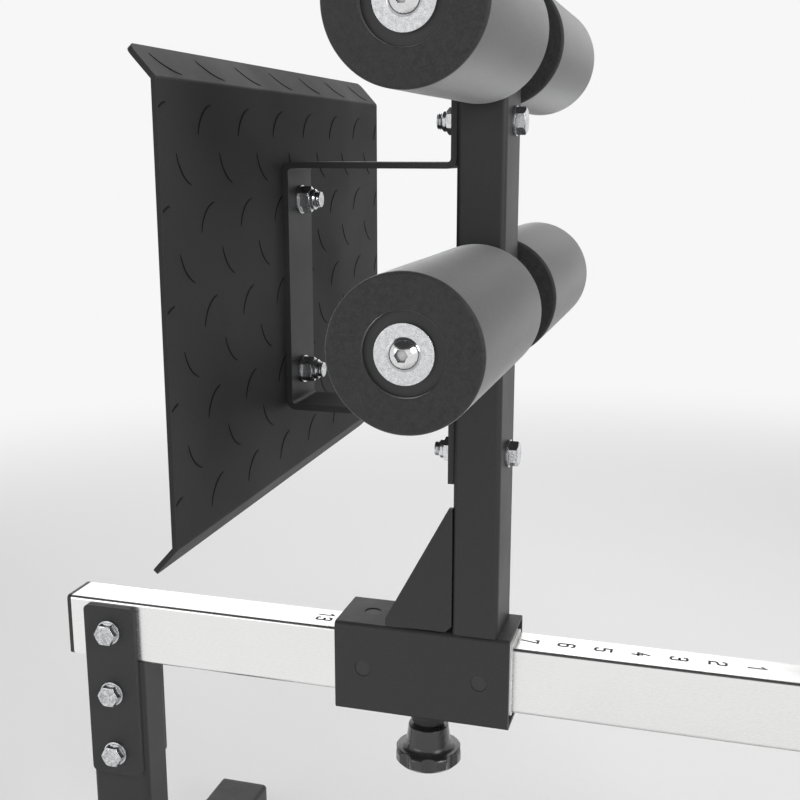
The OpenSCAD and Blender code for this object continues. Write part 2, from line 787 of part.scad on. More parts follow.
// How far the cover lies inside the pad's full section at a distance y from its middle
function pad_inset(y) = let (
    half = pad_w/2,
    edge = max(0, abs(y) - (half - pad_round))/pad_round,
    seam = (abs(y) - (half - seam_inset))/seam_w)
    pad_crown*pow(y/half, 2) + seam_depth*exp(-seam*seam)
    + pad_round*(1 - sqrt(max(0, 1 - edge*edge*side_turn)));

function signed_pow(v, p) = sign(v)*pow(abs(v), p);

// A point of the section: a runs from 0 at the front edge over the top to 180 at the back
function pad_point(a, y) = let (
    inset = pad_inset(y),
    tuck = pad_tuck*exp(-pow(sin(a)*pad_h/tuck_h, 2)),
    rx = pad_l/2 - inset - tuck,
    rz = pad_h - inset)
    [rx*signed_pow(cos(a), pad_squareness), y, rz*pow(sin(a), pad_squareness)];

pad_points = concat(
    [for (j = [0 : pad_cols], i = [0 : pad_rows])
        pad_point(180*i/pad_rows, pad_w/2*sin(180*j/pad_cols - 90))],
    [for (s = [-1, 1]) [0, s*pad_w/2, pad_h*side_hub]]);

pad_faces = let (n = pad_rows + 1, hub = n*(pad_cols + 1)) concat(
    [for (j = [0 : pad_cols - 1], i = [0 : pad_rows]) let (k = (i + 1) % n)
        [j*n + i, (j + 1)*n + i, (j + 1)*n + k]],
    [for (j = [0 : pad_cols - 1], i = [0 : pad_rows]) let (k = (i + 1) % n)
        [j*n + i, (j + 1)*n + k, j*n + k]],
    [for (i = [0 : pad_rows]) [hub, i, (i + 1) % n]],
    [for (i = [0 : pad_rows]) let (m = pad_cols*n) [hub + 1, m + (i + 1) % n, m + i]]);

module hip_pad(y) color(foam)
    translate([upright_x, y, crossbar_top + pad_plate_t + board_t])
        polyhedron(pad_points, pad_faces, convexity = 4);

module left_hip_pad() hip_pad(pad_y);

module right_hip_pad() hip_pad(-pad_y);

// Handles under the front of the pads

handle_x0 = upright_x + tube_a/2;
handle_x1 = handle_x0 + handle_l;

module handle_bars() color(coat) both_sides()
    translate([0, handle_y, crossbar_z]) difference() {
        bar_x(handle_d, handle_x0, handle_x1);
        bar_x(handle_d - 2*handle_wall, handle_x0 - 1, handle_x1 + 1);
    }

// Rubber grips: a closed end, a flange towards the crossbar and shallow finger rings
module handle_grips() color(plastic) both_sides()
    translate([handle_x1 - grip_l, handle_y, crossbar_z]) rotate([0, 90, 0]) difference() {
        rotate_extrude() {
            square([handle_d/2 + grip_t, grip_l + grip_t]);
            square([handle_d/2 + grip_t + grip_flange, grip_flange_t]);
        }
        translate([0, 0, -1]) cylinder(d = handle_d + 2*fit_gap, h = grip_l + 1);
        for (i = [1 : grip_rings]) translate([0, 0, i*grip_l/(grip_rings + 1)]) rotate_extrude()
            translate([handle_d/2 + grip_t + ring_r - ring_depth, 0]) circle(ring_r);
    }

// Transport wheels in front of the front cross foot

wheel_x = front_x + tube_a/2 + wheel_reach;
wheel_z = wheel_lift + wheel_d/2;
ear_in = wheel_w/2 + ear_gap;
ear_out = ear_in + ear_t;

module wheel_brackets() color(coat)
    for (s = [-1, 1], e = [-1, 1])
        translate([0, s*wheel_y + e*(ear_in + ear_t/2), 0]) along_y(ear_t) difference() {
            union() {
                translate([wheel_x, wheel_z]) circle(ear_r);
                polygon([[front_x + tube_a/2, base_z - ear_root/2],
                         [wheel_x, wheel_z - ear_r], [wheel_x, wheel_z + ear_r],
                         [front_x + tube_a/2, base_z + ear_root/2]]);
            }
            translate([wheel_x, wheel_z]) circle(d = wheel_axle_d + 2*fit_gap);
        }

module wheel_axles() color(zinc) both_sides() translate([wheel_x, wheel_y, wheel_z]) {
    translate([0, ear_out, 0]) rotate([-90, 0, 0])
        hex_bolt(wheel_axle_d, wheel_bolt_af, wheel_head_h,
                 2*ear_out + wheel_nut_h + wheel_thread_out);
    translate([0, -ear_out, 0]) rotate([90, 0, 0])
        lock_nut(wheel_axle_d, wheel_bolt_af, wheel_nut_h);
}

// A wheel with a hub, a thinner web and a tyre with round shoulders
module wheel(y) color(plastic) translate([wheel_x, y, wheel_z]) rotate([90, 0, 0])
    rotate_extrude() difference() {
        union() {
            translate([0, -wheel_w/2]) square([hub_r, wheel_w]);
            translate([0, -web_t/2]) square([(wheel_d - tyre_depth)/2, web_t]);
            translate([(wheel_d - tyre_depth)/2, 0]) rounded_rect(tyre_depth, wheel_w, tyre_round);
        }
        translate([-1, -wheel_w]) square([1 + wheel_axle_d/2 + axle_clearance, wheel_w*2]);
    }

module left_wheel() wheel(wheel_y);

module right_wheel() wheel(-wheel_y);

// Carriage: the sleeve on the beam, with its liners, plugs and pop pin

plug_x = sleeve_l/2 - plug_inset;

// Its child at each fixing plug, with +Z out of the sleeve's wall
module at_plugs() {
    for (sx = [-1, 1]) both_sides()
        translate([sleeve_x + sx*plug_x, sleeve_w/2, beam_z]) rotate([-90, 0, 0]) children();
    translate([sleeve_x - plug_x, 0, sleeve_top]) children();
    for (sx = [-1, 1]) translate([sleeve_x + sx*plug_x, 0, sleeve_bottom])
        rotate([180, 0, 0]) children();
}

module carriage_sleeve() color(coat) difference() {
    translate([0, 0, beam_z]) along_x(sleeve_x - sleeve_l/2, sleeve_x + sleeve_l/2)
        tube_section(sleeve_w, sleeve_h, sleeve_wall, sleeve_corner);
    at_plugs() translate([0, 0, -sleeve_wall - 1]) cylinder(d = plug_d, h = sleeve_wall + 2);
    translate([sleeve_x, 0, sleeve_bottom - 1])
        cylinder(d = barrel_neck_d + 2*fit_gap, h = sleeve_wall + 2);
}

// The running gap round the beam and a wall t of the liner round that, from x0 to x1
module liner_ring(x0, x1, t_y, t_z, r) {
    along_x(min(x0, x1), max(x0, x1)) difference() {
        rounded_rect(tube_b + 2*(liner_gap + t_y), tube_a + 2*(liner_gap + t_z), r);
        rounded_rect(tube_b + 2*liner_gap, tube_a + 2*liner_gap, beam_corner);
    }
}

// Each liner fills the sleeve up to a step, from which a thin lip runs out along the beam
module glide_liners() color("#ececec") for (s = [-1, 1]) {
    x_in = sleeve_x + s*(sleeve_l/2 - liner_l);
    x_step = sleeve_x + s*(sleeve_l/2 - liner_step);
    x_lip = sleeve_x + s*(sleeve_l/2 + liner_out);
    fill = sleeve_margin - sleeve_wall - liner_seat_gap - liner_gap;
    translate([0, 0, beam_z]) {
        liner_ring(x_in, x_step, fill, fill, max(sleeve_corner - sleeve_wall, inner_corner));
        liner_ring(x_in, x_lip, liner_lip, liner_lip, beam_corner + liner_lip);
    }
}

module glide_plugs() color(plastic)
    at_plugs() translate([0, 0, -sleeve_wall - liner_seat_gap/2])
        cylinder(d = plug_d - 2*fit_gap, h = sleeve_wall + liner_seat_gap/2 - plug_sink);

// Pop pin: barrel welded under the sleeve, with a spring that lifts the pin into the beam

module pin_barrel() color(coat) translate([sleeve_x, 0, 0]) rotate_extrude() {
    bore_r = pin_d/2 + pin_clearance;
    polygon([[bore_r, barrel_bottom], [barrel_d/2 - barrel_taper, barrel_bottom],
             [barrel_d/2, barrel_bottom + barrel_taper_h],
             [barrel_d/2, sleeve_bottom], [barrel_neck_d/2, sleeve_bottom],
             [barrel_neck_d/2, barrel_top], [bore_r, barrel_top],
             [bore_r, barrel_top - barrel_end], [cavity_d/2, barrel_top - barrel_end],
             [cavity_d/2, barrel_bottom + barrel_end], [bore_r, barrel_bottom + barrel_end]]);
}

pin_collar_top = barrel_top - barrel_end - rest_gap;
pin_collar_r = cavity_d/2 - collar_gap;
pin_foot = knob_top - knob_seat;
pin_tip = beam_bottom + pin_bite;

module pin_plunger() color(zinc) translate([sleeve_x, 0, 0]) rotate_extrude()
    polygon([[0, pin_foot], [pin_d/2, pin_foot],
             [pin_d/2, pin_collar_top - pin_collar_h], [pin_collar_r, pin_collar_top - pin_collar_h],
             [pin_collar_r, pin_collar_top], [pin_d/2, pin_collar_top],
             [pin_d/2, pin_tip - pin_bevel_h], [pin_d/2 - pin_bevel, pin_tip], [0, pin_tip]]);

spring_low = barrel_bottom + barrel_end + rest_gap;
spring_high = pin_collar_top - pin_collar_h - rest_gap;
spring_r = (pin_d/2 + pin_collar_r)/2;

// Points of a wire of radius r round a helix: six round each of the rings along it
function coil_ring(i, n, r) = let (
    a = 360*spring_turns*i/n,
    z = spring_low + r + (spring_high - spring_low - 2*r)*i/n)
    [for (k = [0 : 5]) [(spring_r + r*cos(60*k))*cos(a), (spring_r + r*cos(60*k))*sin(a),
                        z + r*sin(60*k)]];

module pin_spring() color(zinc) {
    n = spring_turns*12;
    points = [for (i = [0 : n]) each coil_ring(i, n, spring_wire/2)];
    side = [for (i = [0 : n - 1], k = [0 : 5]) let (m = (k + 1) % 6)
        each [[i*6 + k, (i + 1)*6 + k, (i + 1)*6 + m], [i*6 + k, (i + 1)*6 + m, i*6 + m]]];
    ends = [for (k = [1 : 4]) each [[0, k, k + 1], [n*6, n*6 + k + 1, n*6 + k]]];
    translate([sleeve_x, 0, 0]) polyhedron(points, concat(side, ends), convexity = 8);
}

flare_r = knob_neck_d/2 + flare_lip;
flare_from = knob_bottom + skirt_h + skirt_round;
shoulder_r = knob_d/2 - skirt_round;

// Knob: a round neck that flares into a fluted skirt with a round shoulder
module pin_knob() color(plastic) translate([sleeve_x, 0, 0]) difference() {
    rotate_extrude() polygon(concat(
        [[0, knob_bottom], [knob_d/2 - skirt_bevel, knob_bottom],
         [knob_d/2, knob_bottom + skirt_bevel], [knob_d/2, knob_bottom + skirt_h]],
        [for (a = [15 : 15 : 75])
            [shoulder_r + skirt_round*cos(a), knob_bottom + skirt_h + skirt_round*sin(a)]],
        [for (a = [0 : 15 : 75])
            [flare_r + (shoulder_r - flare_r)*(1 - sin(a)), flare_from + flare_h*(1 - cos(a))]],
        [[knob_neck_d/2, knob_top - neck_bevel], [knob_neck_d/2 - neck_bevel, knob_top],
         [0, knob_top]]));
    translate([0, 0, pin_foot - fit_gap]) cylinder(d = pin_d + 2*fit_gap, h = knob_h);
    for (i = [0 : knob_flutes - 1]) rotate(360*i/knob_flutes + flute_turn)
        translate([knob_d/2 + flute_r - flute_depth, 0, knob_bottom - 1])
            cylinder(r = flute_r, h = flute_h + 1);
}

// Foot post, its gussets and cap

module foot_post() color(coat) difference() {
    translate([post_x, 0, sleeve_top]) linear_extrude(beam_top + post_top - sleeve_top)
        tube_section(tube_b, tube_a, tube_wall, tube_corner);
    for (s = [-1, 1]) translate([0, 0, foot_z + s*post_bolt_half])
        bar_x(strip_hole_d, post_back - 1, post_x + tube_b);
    for (z = [lower_z, upper_z]) translate([post_x, 0, z]) bar_y(axle_d + 2*fit_gap, tube_a + 2);
}

module post_cap() color(plastic) translate([post_x, 0, beam_top + post_top])
    tube_cap(tube_b, tube_a, tube_wall, tube_corner);

module gusset_plates() color(coat) both_sides()
    translate([post_back, (tube_a - gusset_t)/2, sleeve_top]) along_y(gusset_t)
        polygon([[-gusset_l, gusset_lift], [-gusset_notch, gusset_lift],
                 [0, gusset_lift + gusset_notch], [0, gusset_h], [-gusset_tip, gusset_h],
                 [-gusset_l, gusset_lift + gusset_toe]]);

// Rollers and their axles. s is 1 on the left (+Y) and -1 on the right

// A round tube or disc along Y on side s, from y0 to y1 off the machine's middle
module disc_y(x, z, d, y0, y1, s, hole = 0) {
    translate([x, s*(y0 + y1)/2, z]) rotate([90, 0, 0]) difference() {
        cylinder(d = d, h = y1 - y0, center = true);
        if (hole > 0) cylinder(d = hole, h = y1 - y0 + 2, center = true);
    }
}

module axle(z) color(zinc) translate([post_x, 0, z]) difference() {
    bar_y(axle_d, 2*axle_half);
    both_sides() translate([0, axle_half - thread_depth, 0]) rotate([-90, 0, 0])
        cylinder(d = bolt_d + 2*thread_gap, h = thread_depth + 1);
}

module upper_axle() axle(upper_z);

module lower_axle() axle(lower_z);

module axle_collars() color(coat) for (z = [lower_z, upper_z], s = [-1, 1])
    disc_y(post_x, z, collar_d, tube_a/2, roller_in - end_play, s, axle_d + 2*fit_gap);

module axle_washers() color(zinc) for (z = [lower_z, upper_z], s = [-1, 1])
    disc_y(post_x, z, end_washer_d, axle_half, axle_half + end_washer_t, s, bolt_hole_d);

module axle_bolts() color(zinc) for (z = [lower_z, upper_z]) both_sides()
    translate([post_x, axle_half + end_washer_t, z]) rotate([-90, 0, 0])
        button_bolt(bolt_d, button_d, button_h, thread_depth - thread_spare);

// A foam tube with round ends, its axis along Y
module roller_foam(z, s) color(foam) {
    r = roller_d/2;
    translate([post_x, s*(roller_in + roller_l/2), z]) rotate([90, 0, 0])
        rotate_extrude() difference() {
            union() {
                translate([0, -roller_l/2]) square([r - foam_round, roller_l]);
                translate([r - foam_round, 0]) rounded_rect(2*foam_round, roller_l, foam_round - eps);
            }
            translate([-1, -roller_l]) square([1 + foam_bore/2, 2*roller_l]);
        }
}

// The roller's core: a plastic tube closed by a bushing at each end
module roller_core(z, s) color(plastic) {
    half = (core_out - roller_in)/2;
    bore_r = axle_d/2 + axle_clearance;
    out_r = foam_bore/2 - foam_gap;
    translate([post_x, s*(roller_in + half), z]) rotate([90, 0, 0]) rotate_extrude()
        polygon([[bore_r, -half], [out_r, -half], [out_r, half], [bore_r, half],
                 [bore_r, half - bushing_l], [out_r - core_wall, half - bushing_l],
                 [out_r - core_wall, bushing_l - half], [bore_r, bushing_l - half]]);
}

module upper_left_foam() roller_foam(upper_z, 1);
module upper_left_core() roller_core(upper_z, 1);
module upper_right_foam() roller_foam(upper_z, -1);
module upper_right_core() roller_core(upper_z, -1);
module lower_left_foam() roller_foam(lower_z, 1);
module lower_left_core() roller_core(lower_z, 1);
module lower_right_foam() roller_foam(lower_z, -1);
module lower_right_core() roller_core(lower_z, -1);

// Foot plate and the hat-shaped bracket that holds it to the post

// A quarter of a bend in a strip of thickness t, from angle a0
module bend(t, a0) {
    intersection() {
        difference() {
            circle(strip_bend + t);
            circle(strip_bend);
        }
        rotate(a0) square(strip_bend + t + 1);
    }
}

// The upper half of the bracket's section, with the post's face at x = 0
module strip_half() {
    web = -foot_reach;
    arm = arm_half - strip_t/2;
    out = strip_bend + strip_t;
    translate([web, 0]) square([strip_t, arm_half + strip_t/2 - out]);
    translate([web + out, arm_half + strip_t/2 - out]) bend(strip_t, 90);
    translate([web + out, arm]) square([foot_reach - 2*out, strip_t]);
    translate([-out, arm + out]) bend(strip_t, 270);
    translate([-strip_t, arm + out]) square([strip_t, tab_half - arm - out]);
}

module foot_bracket() color(coat) difference() {
    translate([post_back, 0, foot_z]) along_y(strip_w)
        for (m = [0, 1]) mirror([0, m]) strip_half();
    for (s = [-1, 1]) {
        translate([0, 0, foot_z + s*foot_bolt_half])
            bar_x(strip_hole_d, foot_x - 1, foot_x + strip_t + 1);
        translate([0, 0, foot_z + s*post_bolt_half])
            bar_x(strip_hole_d, post_back - strip_t - 1, post_back + 1);
    }
}

// A bent edge laid flat: it leaves the fold at x = 0 and has round outer corners
module flange_outline() {
    straight = flange_l - flange_corner;
    translate([0, -foot_w/2]) square([straight, foot_w]);
    translate([0, flange_corner - foot_w/2]) square([flange_l, foot_w - 2*flange_corner]);
    for (s = [-1, 1]) translate([straight, s*(foot_w/2 - flange_corner)]) circle(flange_corner);
}

// The plate's upper half, with its front face at x = 0: the flat, the fold and the bent edge
module foot_plate_half() {
    translate([-foot_t, -foot_w/2, 0]) cube([foot_t, foot_w, foot_h/2]);
    translate([-foot_t, 0, foot_h/2]) {
        along_y(foot_w) intersection() {
            circle(foot_t);
            polygon([[0, 0], [2*foot_t, 0], [2*foot_t, 2*foot_t*tan(flange_tilt)]]);
        }
        rotate([0, -90 - flange_tilt, 0]) translate([0, 0, -foot_t])
            linear_extrude(foot_t) flange_outline();
    }
}

module foot_plate() color("#5a5a5a") difference() {
    translate([foot_x, 0, foot_z])
        for (m = [0, 1]) mirror([0, 0, m]) foot_plate_half();
    for (s = [-1, 1]) translate([0, 0, foot_z + s*foot_bolt_half])
        bar_x(strip_hole_d, foot_x - foot_t - 1, foot_x + 1);
}

module foot_plate_bolts() color(zinc) for (s = [-1, 1])
    translate([foot_x - foot_t, 0, foot_z + s*foot_bolt_half]) rotate([0, -90, 0])
        button_bolt(strip_bolt_d, strip_bolt_d*1.75, strip_bolt_d*0.5,
                    foot_t + strip_t + washer_t + strip_nut_h + strip_thread_out);

module foot_plate_nuts() color(zinc) for (s = [-1, 1])
    translate([foot_x + strip_t + washer_t, 0, foot_z + s*foot_bolt_half])
        rotate([0, 90, 0]) lock_nut(strip_bolt_d, strip_af, strip_nut_h);

module bracket_bolts() color(zinc) for (s = [-1, 1])
    translate([post_x + tube_b/2 + washer_t, 0, foot_z + s*post_bolt_half])
        rotate([0, 90, 0]) hex_bolt(strip_bolt_d, strip_af, strip_head_h,
            washer_t + tube_b + strip_t + strip_nut_h + strip_thread_out);

// A washer under each bolt head on the post and under each of the foot plate's nuts
module bracket_washers() color(zinc) for (s = [-1, 1]) {
    translate([post_x + tube_b/2, 0, foot_z + s*post_bolt_half]) rotate([0, 90, 0])
        flat_washer(strip_hole_d);
    translate([foot_x + strip_t, 0, foot_z + s*foot_bolt_half]) rotate([0, 90, 0])
        flat_washer(strip_hole_d);
}

module bracket_nuts() color(zinc) for (s = [-1, 1])
    translate([post_back - strip_t, 0, foot_z + s*post_bolt_half]) rotate([0, -90, 0])
        lock_nut(strip_bolt_d, strip_af, strip_nut_h);

slide_beam();
beam_end_cap();
rear_leg();
rear_foot();
base_rail();
front_foot();
foot_end_caps();
rubber_feet();
rear_joint_plates();
rear_joint_bolts();
rear_joint_nuts();
front_upright();
front_joint_plates();
front_joint_bolts();
front_joint_nuts();
joint_washers();
front_brace();
pad_crossbar();
crossbar_caps();
pad_plates();
pad_boards();
left_hip_pad();
right_hip_pad();
pad_screws();
handle_bars();
handle_grips();
wheel_brackets();
wheel_axles();
left_wheel();
right_wheel();
carriage_sleeve();
glide_liners();
glide_plugs();
foot_post();
post_cap();
gusset_plates();
upper_axle();
lower_axle();
axle_collars();
axle_washers();
axle_bolts();
foot_bracket();
foot_plate();
foot_plate_bolts();
foot_plate_nuts();
bracket_bolts();
bracket_washers();
bracket_nuts();
pin_barrel();
pin_spring();
pin_plunger();
pin_knob();
upper_left_foam();
upper_left_core();
upper_right_foam();
upper_right_core();
lower_left_foam();
lower_left_core();
lower_right_foam();
lower_right_core();
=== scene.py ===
import logging
import math
from dataclasses import dataclass
from enum import Enum
from functools import cache
from typing import Iterable, Sequence

import bpy
import numpy as np
from mathutils import Matrix, Vector


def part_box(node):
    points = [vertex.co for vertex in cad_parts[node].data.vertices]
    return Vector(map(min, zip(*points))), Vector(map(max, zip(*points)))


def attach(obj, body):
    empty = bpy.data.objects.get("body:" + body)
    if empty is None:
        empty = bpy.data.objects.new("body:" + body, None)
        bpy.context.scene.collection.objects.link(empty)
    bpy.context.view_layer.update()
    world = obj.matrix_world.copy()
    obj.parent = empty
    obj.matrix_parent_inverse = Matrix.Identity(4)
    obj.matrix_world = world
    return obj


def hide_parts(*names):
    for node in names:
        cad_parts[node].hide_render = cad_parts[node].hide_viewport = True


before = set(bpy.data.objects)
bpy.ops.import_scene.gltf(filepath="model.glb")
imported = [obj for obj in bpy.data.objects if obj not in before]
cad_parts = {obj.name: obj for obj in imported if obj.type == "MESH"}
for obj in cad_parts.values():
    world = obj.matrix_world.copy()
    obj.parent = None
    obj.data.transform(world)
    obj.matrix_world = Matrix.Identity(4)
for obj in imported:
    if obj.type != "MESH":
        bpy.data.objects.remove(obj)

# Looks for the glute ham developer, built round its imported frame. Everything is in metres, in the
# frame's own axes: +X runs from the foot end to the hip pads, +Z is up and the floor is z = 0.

LOG = logging.getLogger("developer")
MM = 0.001
Array = np.ndarray
Colour = tuple[float, float, float]


class Body(str, Enum):
    """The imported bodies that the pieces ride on."""

    FRAME = "frame"
    CARRIAGE = "carriage"
    UPPER_LEFT = "upper_left_roller"
    UPPER_RIGHT = "upper_right_roller"
    LOWER_LEFT = "lower_left_roller"
    LOWER_RIGHT = "lower_right_roller"


class Slot(str, Enum):
    """The record's material slots, by name."""

    COAT = "black_coat"
    PLATE = "foot_plate_coat"
    STAINLESS = "stainless"
    ZINC = "zinc"
    FOAM = "foam"
    VINYL = "pad_vinyl"


class Lean(Enum):
    """The two ways in which the tread's crescents lean: the sign of their rise."""

    RISING = 1
    FALLING = -1


# Geometry


@dataclass(frozen=True)
class Box:
    """The lowest and highest corner of something in the frame."""

    low: Array
    high: Array

    @classmethod
    def of(cls, node: str) -> "Box":
        """The box round a CAD node at rest."""
        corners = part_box(node)
        return cls(np.array(corners[0], float), np.array(corners[1], float))

    @property
    def centre(self) -> Array:
        """The middle of the box."""
        return (self.low + self.high) / 2

    @property
    def size(self) -> Array:
        """The box's three sides."""
        return self.high - self.low


@dataclass
class Surface:
    """Points in metres, and the faces of four and of three corners between them."""

    points: Array
    quads: Array
    tris: Array

    @classmethod
    def grid(cls, points: Array, wrap_rows: bool = False, wrap_cols: bool = False) -> "Surface":
        """A surface over a grid of points.

        Each face joins the points (row, col), (row, col + 1), (row + 1, col + 1) and
        (row + 1, col). Where a direction wraps, its last points are joined to its first.

        Args:
            points: array of shape (rows, cols, 3).
            wrap_rows: whether the last row joins the first.
            wrap_cols: whether the last column joins the first.

        Returns:
            The surface, with its faces in rows.
        """
        rows, cols = points.shape[:2]
        r = np.arange(rows if wrap_rows else rows - 1)[:, None]
        c = np.arange(cols if wrap_cols else cols - 1)[None, :]
        r_next, c_next = (r + 1) % rows, (c + 1) % cols
        quads = np.stack([r * cols + c, r * cols + c_next,
                          r_next * cols + c_next, r_next * cols + c], axis=-1)
        return cls(points.reshape(-1, 3), quads.reshape(-1, 4), np.zeros((0, 3), int))

    @classmethod
    def repeated(cls, points: Array) -> "Surface":
        """Many equal small bars, each closed at both ends with a fan from the end's middle.

        Args:
            points: array of shape (count, rows, cols, 3), the cols running round each bar.

        Returns:
            All the bars in one surface.
        """
        count, rows, cols = points.shape[:3]
        base = np.arange(count)[:, None] * rows * cols
        quads = cls.grid(points[0], wrap_cols=True).quads[None] + base[:, None]
        hubs = points[:, [0, -1]].mean(axis=2)
        ring, end = np.arange(cols), (rows - 1) * cols
        nxt = (ring + 1) % cols
        hub = count * rows * cols + 2 * np.arange(count)[:, None] + 0 * ring
        first = np.stack([hub, base + nxt, base + ring], axis=-1)
        last = np.stack([hub + 1, base + end + ring, base + end + nxt], axis=-1)
        return cls(np.concatenate([points.reshape(-1, 3), hubs.reshape(-1, 3)]),
                   quads.reshape(-1, 4),
                   np.concatenate([first.reshape(-1, 3), last.reshape(-1, 3)]))

    @classmethod
    def joined(cls, parts: Iterable["Surface"]) -> "Surface":
        """Several surfaces as one."""
        points, quads, tris, count = [], [], [], 0
        for part in parts:
            points.append(part.points)
            quads.append(part.quads + count)
            tris.append(part.tris + count)
            count += len(part.points)
        return cls(np.concatenate(points), np.concatenate(quads), np.concatenate(tris))

    def volume(self) -> float:
        """The enclosed volume: a sixth of the sum of each triangle's triple product."""
        cut = np.concatenate([self.quads[:, [0, 1, 2]], self.quads[:, [0, 2, 3]], self.tris])
        a, b, c = (self.points[cut[:, k]] for k in range(3))
        return float(np.einsum("ij,ij->i", a, np.cross(b, c)).sum() / 6)

    def outward(self) -> "Surface":
        """The same surface with its faces pointing out: turned round if its volume is negative."""
        if self.volume() >= 0:
            return self
        return Surface(self.points, self.quads[:, ::-1], self.tris[:, ::-1])

    def mesh(self, name: str, material: bpy.types.Material) -> bpy.types.Mesh:
        """The surface as a mesh in one material."""
        mesh = bpy.data.meshes.new(name)
        mesh.from_pydata(self.points.tolist(), [], self.quads.tolist() + self.tris.tolist())
        mesh.materials.append(material)
        return mesh


def unit(vectors: Array) -> Array:
    """Vectors divided by their lengths, along the last axis."""
    return vectors / np.maximum(np.linalg.norm(vectors, axis=-1, keepdims=True), 1e-12)


def square_to(direction: Array, helper: Sequence[float]) -> tuple[Array, Array]:
    """Two unit directions at right angles to each given one and to each other.

    The first is the cross product with a helper that is never parallel to the direction.

    Args:
        direction: unit directions, along the last axis.
        helper: the helping direction.

    Returns:
        The two directions, each in the shape of the given ones.
    """
    side = unit(np.cross(direction, helper))
    return side, np.cross(direction, side)


def fan(hub: int, ring: Array) -> Array:
    """Triangles from a hub to each side of a closed ring, all given by their numbers."""
    return np.stack([np.full_like(ring, hub), ring, np.roll(ring, -1)], axis=-1)


def distances(line: Array) -> Array:
    """How far along a line each of its points lies."""
    return np.concatenate([[0], np.cumsum(np.linalg.norm(np.diff(line, axis=0), axis=1))])


def read_at(values: Array, length: Array, at: Array) -> Array:
    """Rows of values, known at growing distances, read at other distances."""
    return np.stack([np.interp(at, length, column) for column in values.T], axis=-1)


def arc(centre: Sequence[float], radius: float, start: float, end: float, count: int) -> Array:
    """Points on a circle.

    A point at angle t is the centre plus the radius times (cos t, sin t).

    Args:
        centre: the circle's middle, two numbers.
        radius: its radius.
        start: first angle, in degrees.
        end: last angle, in degrees.
        count: number of points.

    Returns:
        Array of shape (count, 2).
    """
    t = np.radians(np.linspace(start, end, count))
    return np.array(centre) + radius * np.stack([np.cos(t), np.sin(t)], axis=-1)


def rounded_rectangle(width: float, height: float, radius: float, step: float) -> Array:
    """Evenly spaced points round a rectangle with round corners.

    The outline is four quarter circles joined by straight sides. It is then divided into
    equal lengths by interpolating both coordinates over the distance along it.

    Args:
        width: first side.
        height: second side.
        radius: corner radius.
        step: about how far apart the points are.

    Returns:
        Array of shape (count, 2), a closed loop without its first point repeated.
    """
    w, h = width / 2 - radius, height / 2 - radius
    loop = np.concatenate([arc((w, h), radius, 0, 90, 9), arc((-w, h), radius, 90, 180, 9),
                           arc((-w, -h), radius, 180, 270, 9), arc((w, -h), radius, 270, 360, 9)])
    loop = np.concatenate([loop, loop[:1]])
    length = distances(loop)
    at = np.linspace(0, length[-1], max(12, round(length[-1] / step)), endpoint=False)
    return read_at(loop, length, at)


def new_object(name: str, data: bpy.types.ID) -> bpy.types.Object:
    """Puts an object with that data into the scene, at the origin."""
    made = bpy.data.objects.new(name, data)
    bpy.context.scene.collection.objects.link(made)
    return made


def make_piece(name: str, surface: Surface, finish: "Finish", body: Body,
               sharp: float = 40.0) -> bpy.types.Object:
    """Puts a surface into the scene as one piece of the object.

    Args:
        name: the piece's name.
        surface: its points and faces, in place.
        finish: what it is dressed in.
        body: the CAD body it rides on.
        sharp: angle in degrees above which an edge stays sharp.

    Returns:
        The new object, at the origin, riding on its body.
    """
    mesh = surface.mesh(name, finish.material())
    mesh.polygons.foreach_set("use_smooth", np.ones(len(mesh.polygons), bool))
    mesh.set_sharp_from_angle(angle=math.radians(sharp))
    mesh.update()
    piece = new_object(name, mesh)
    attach(piece, body.value)
    LOG.info("%s: %d points on %s", name, len(surface.points), body.value)
    return piece


# Shader graphs


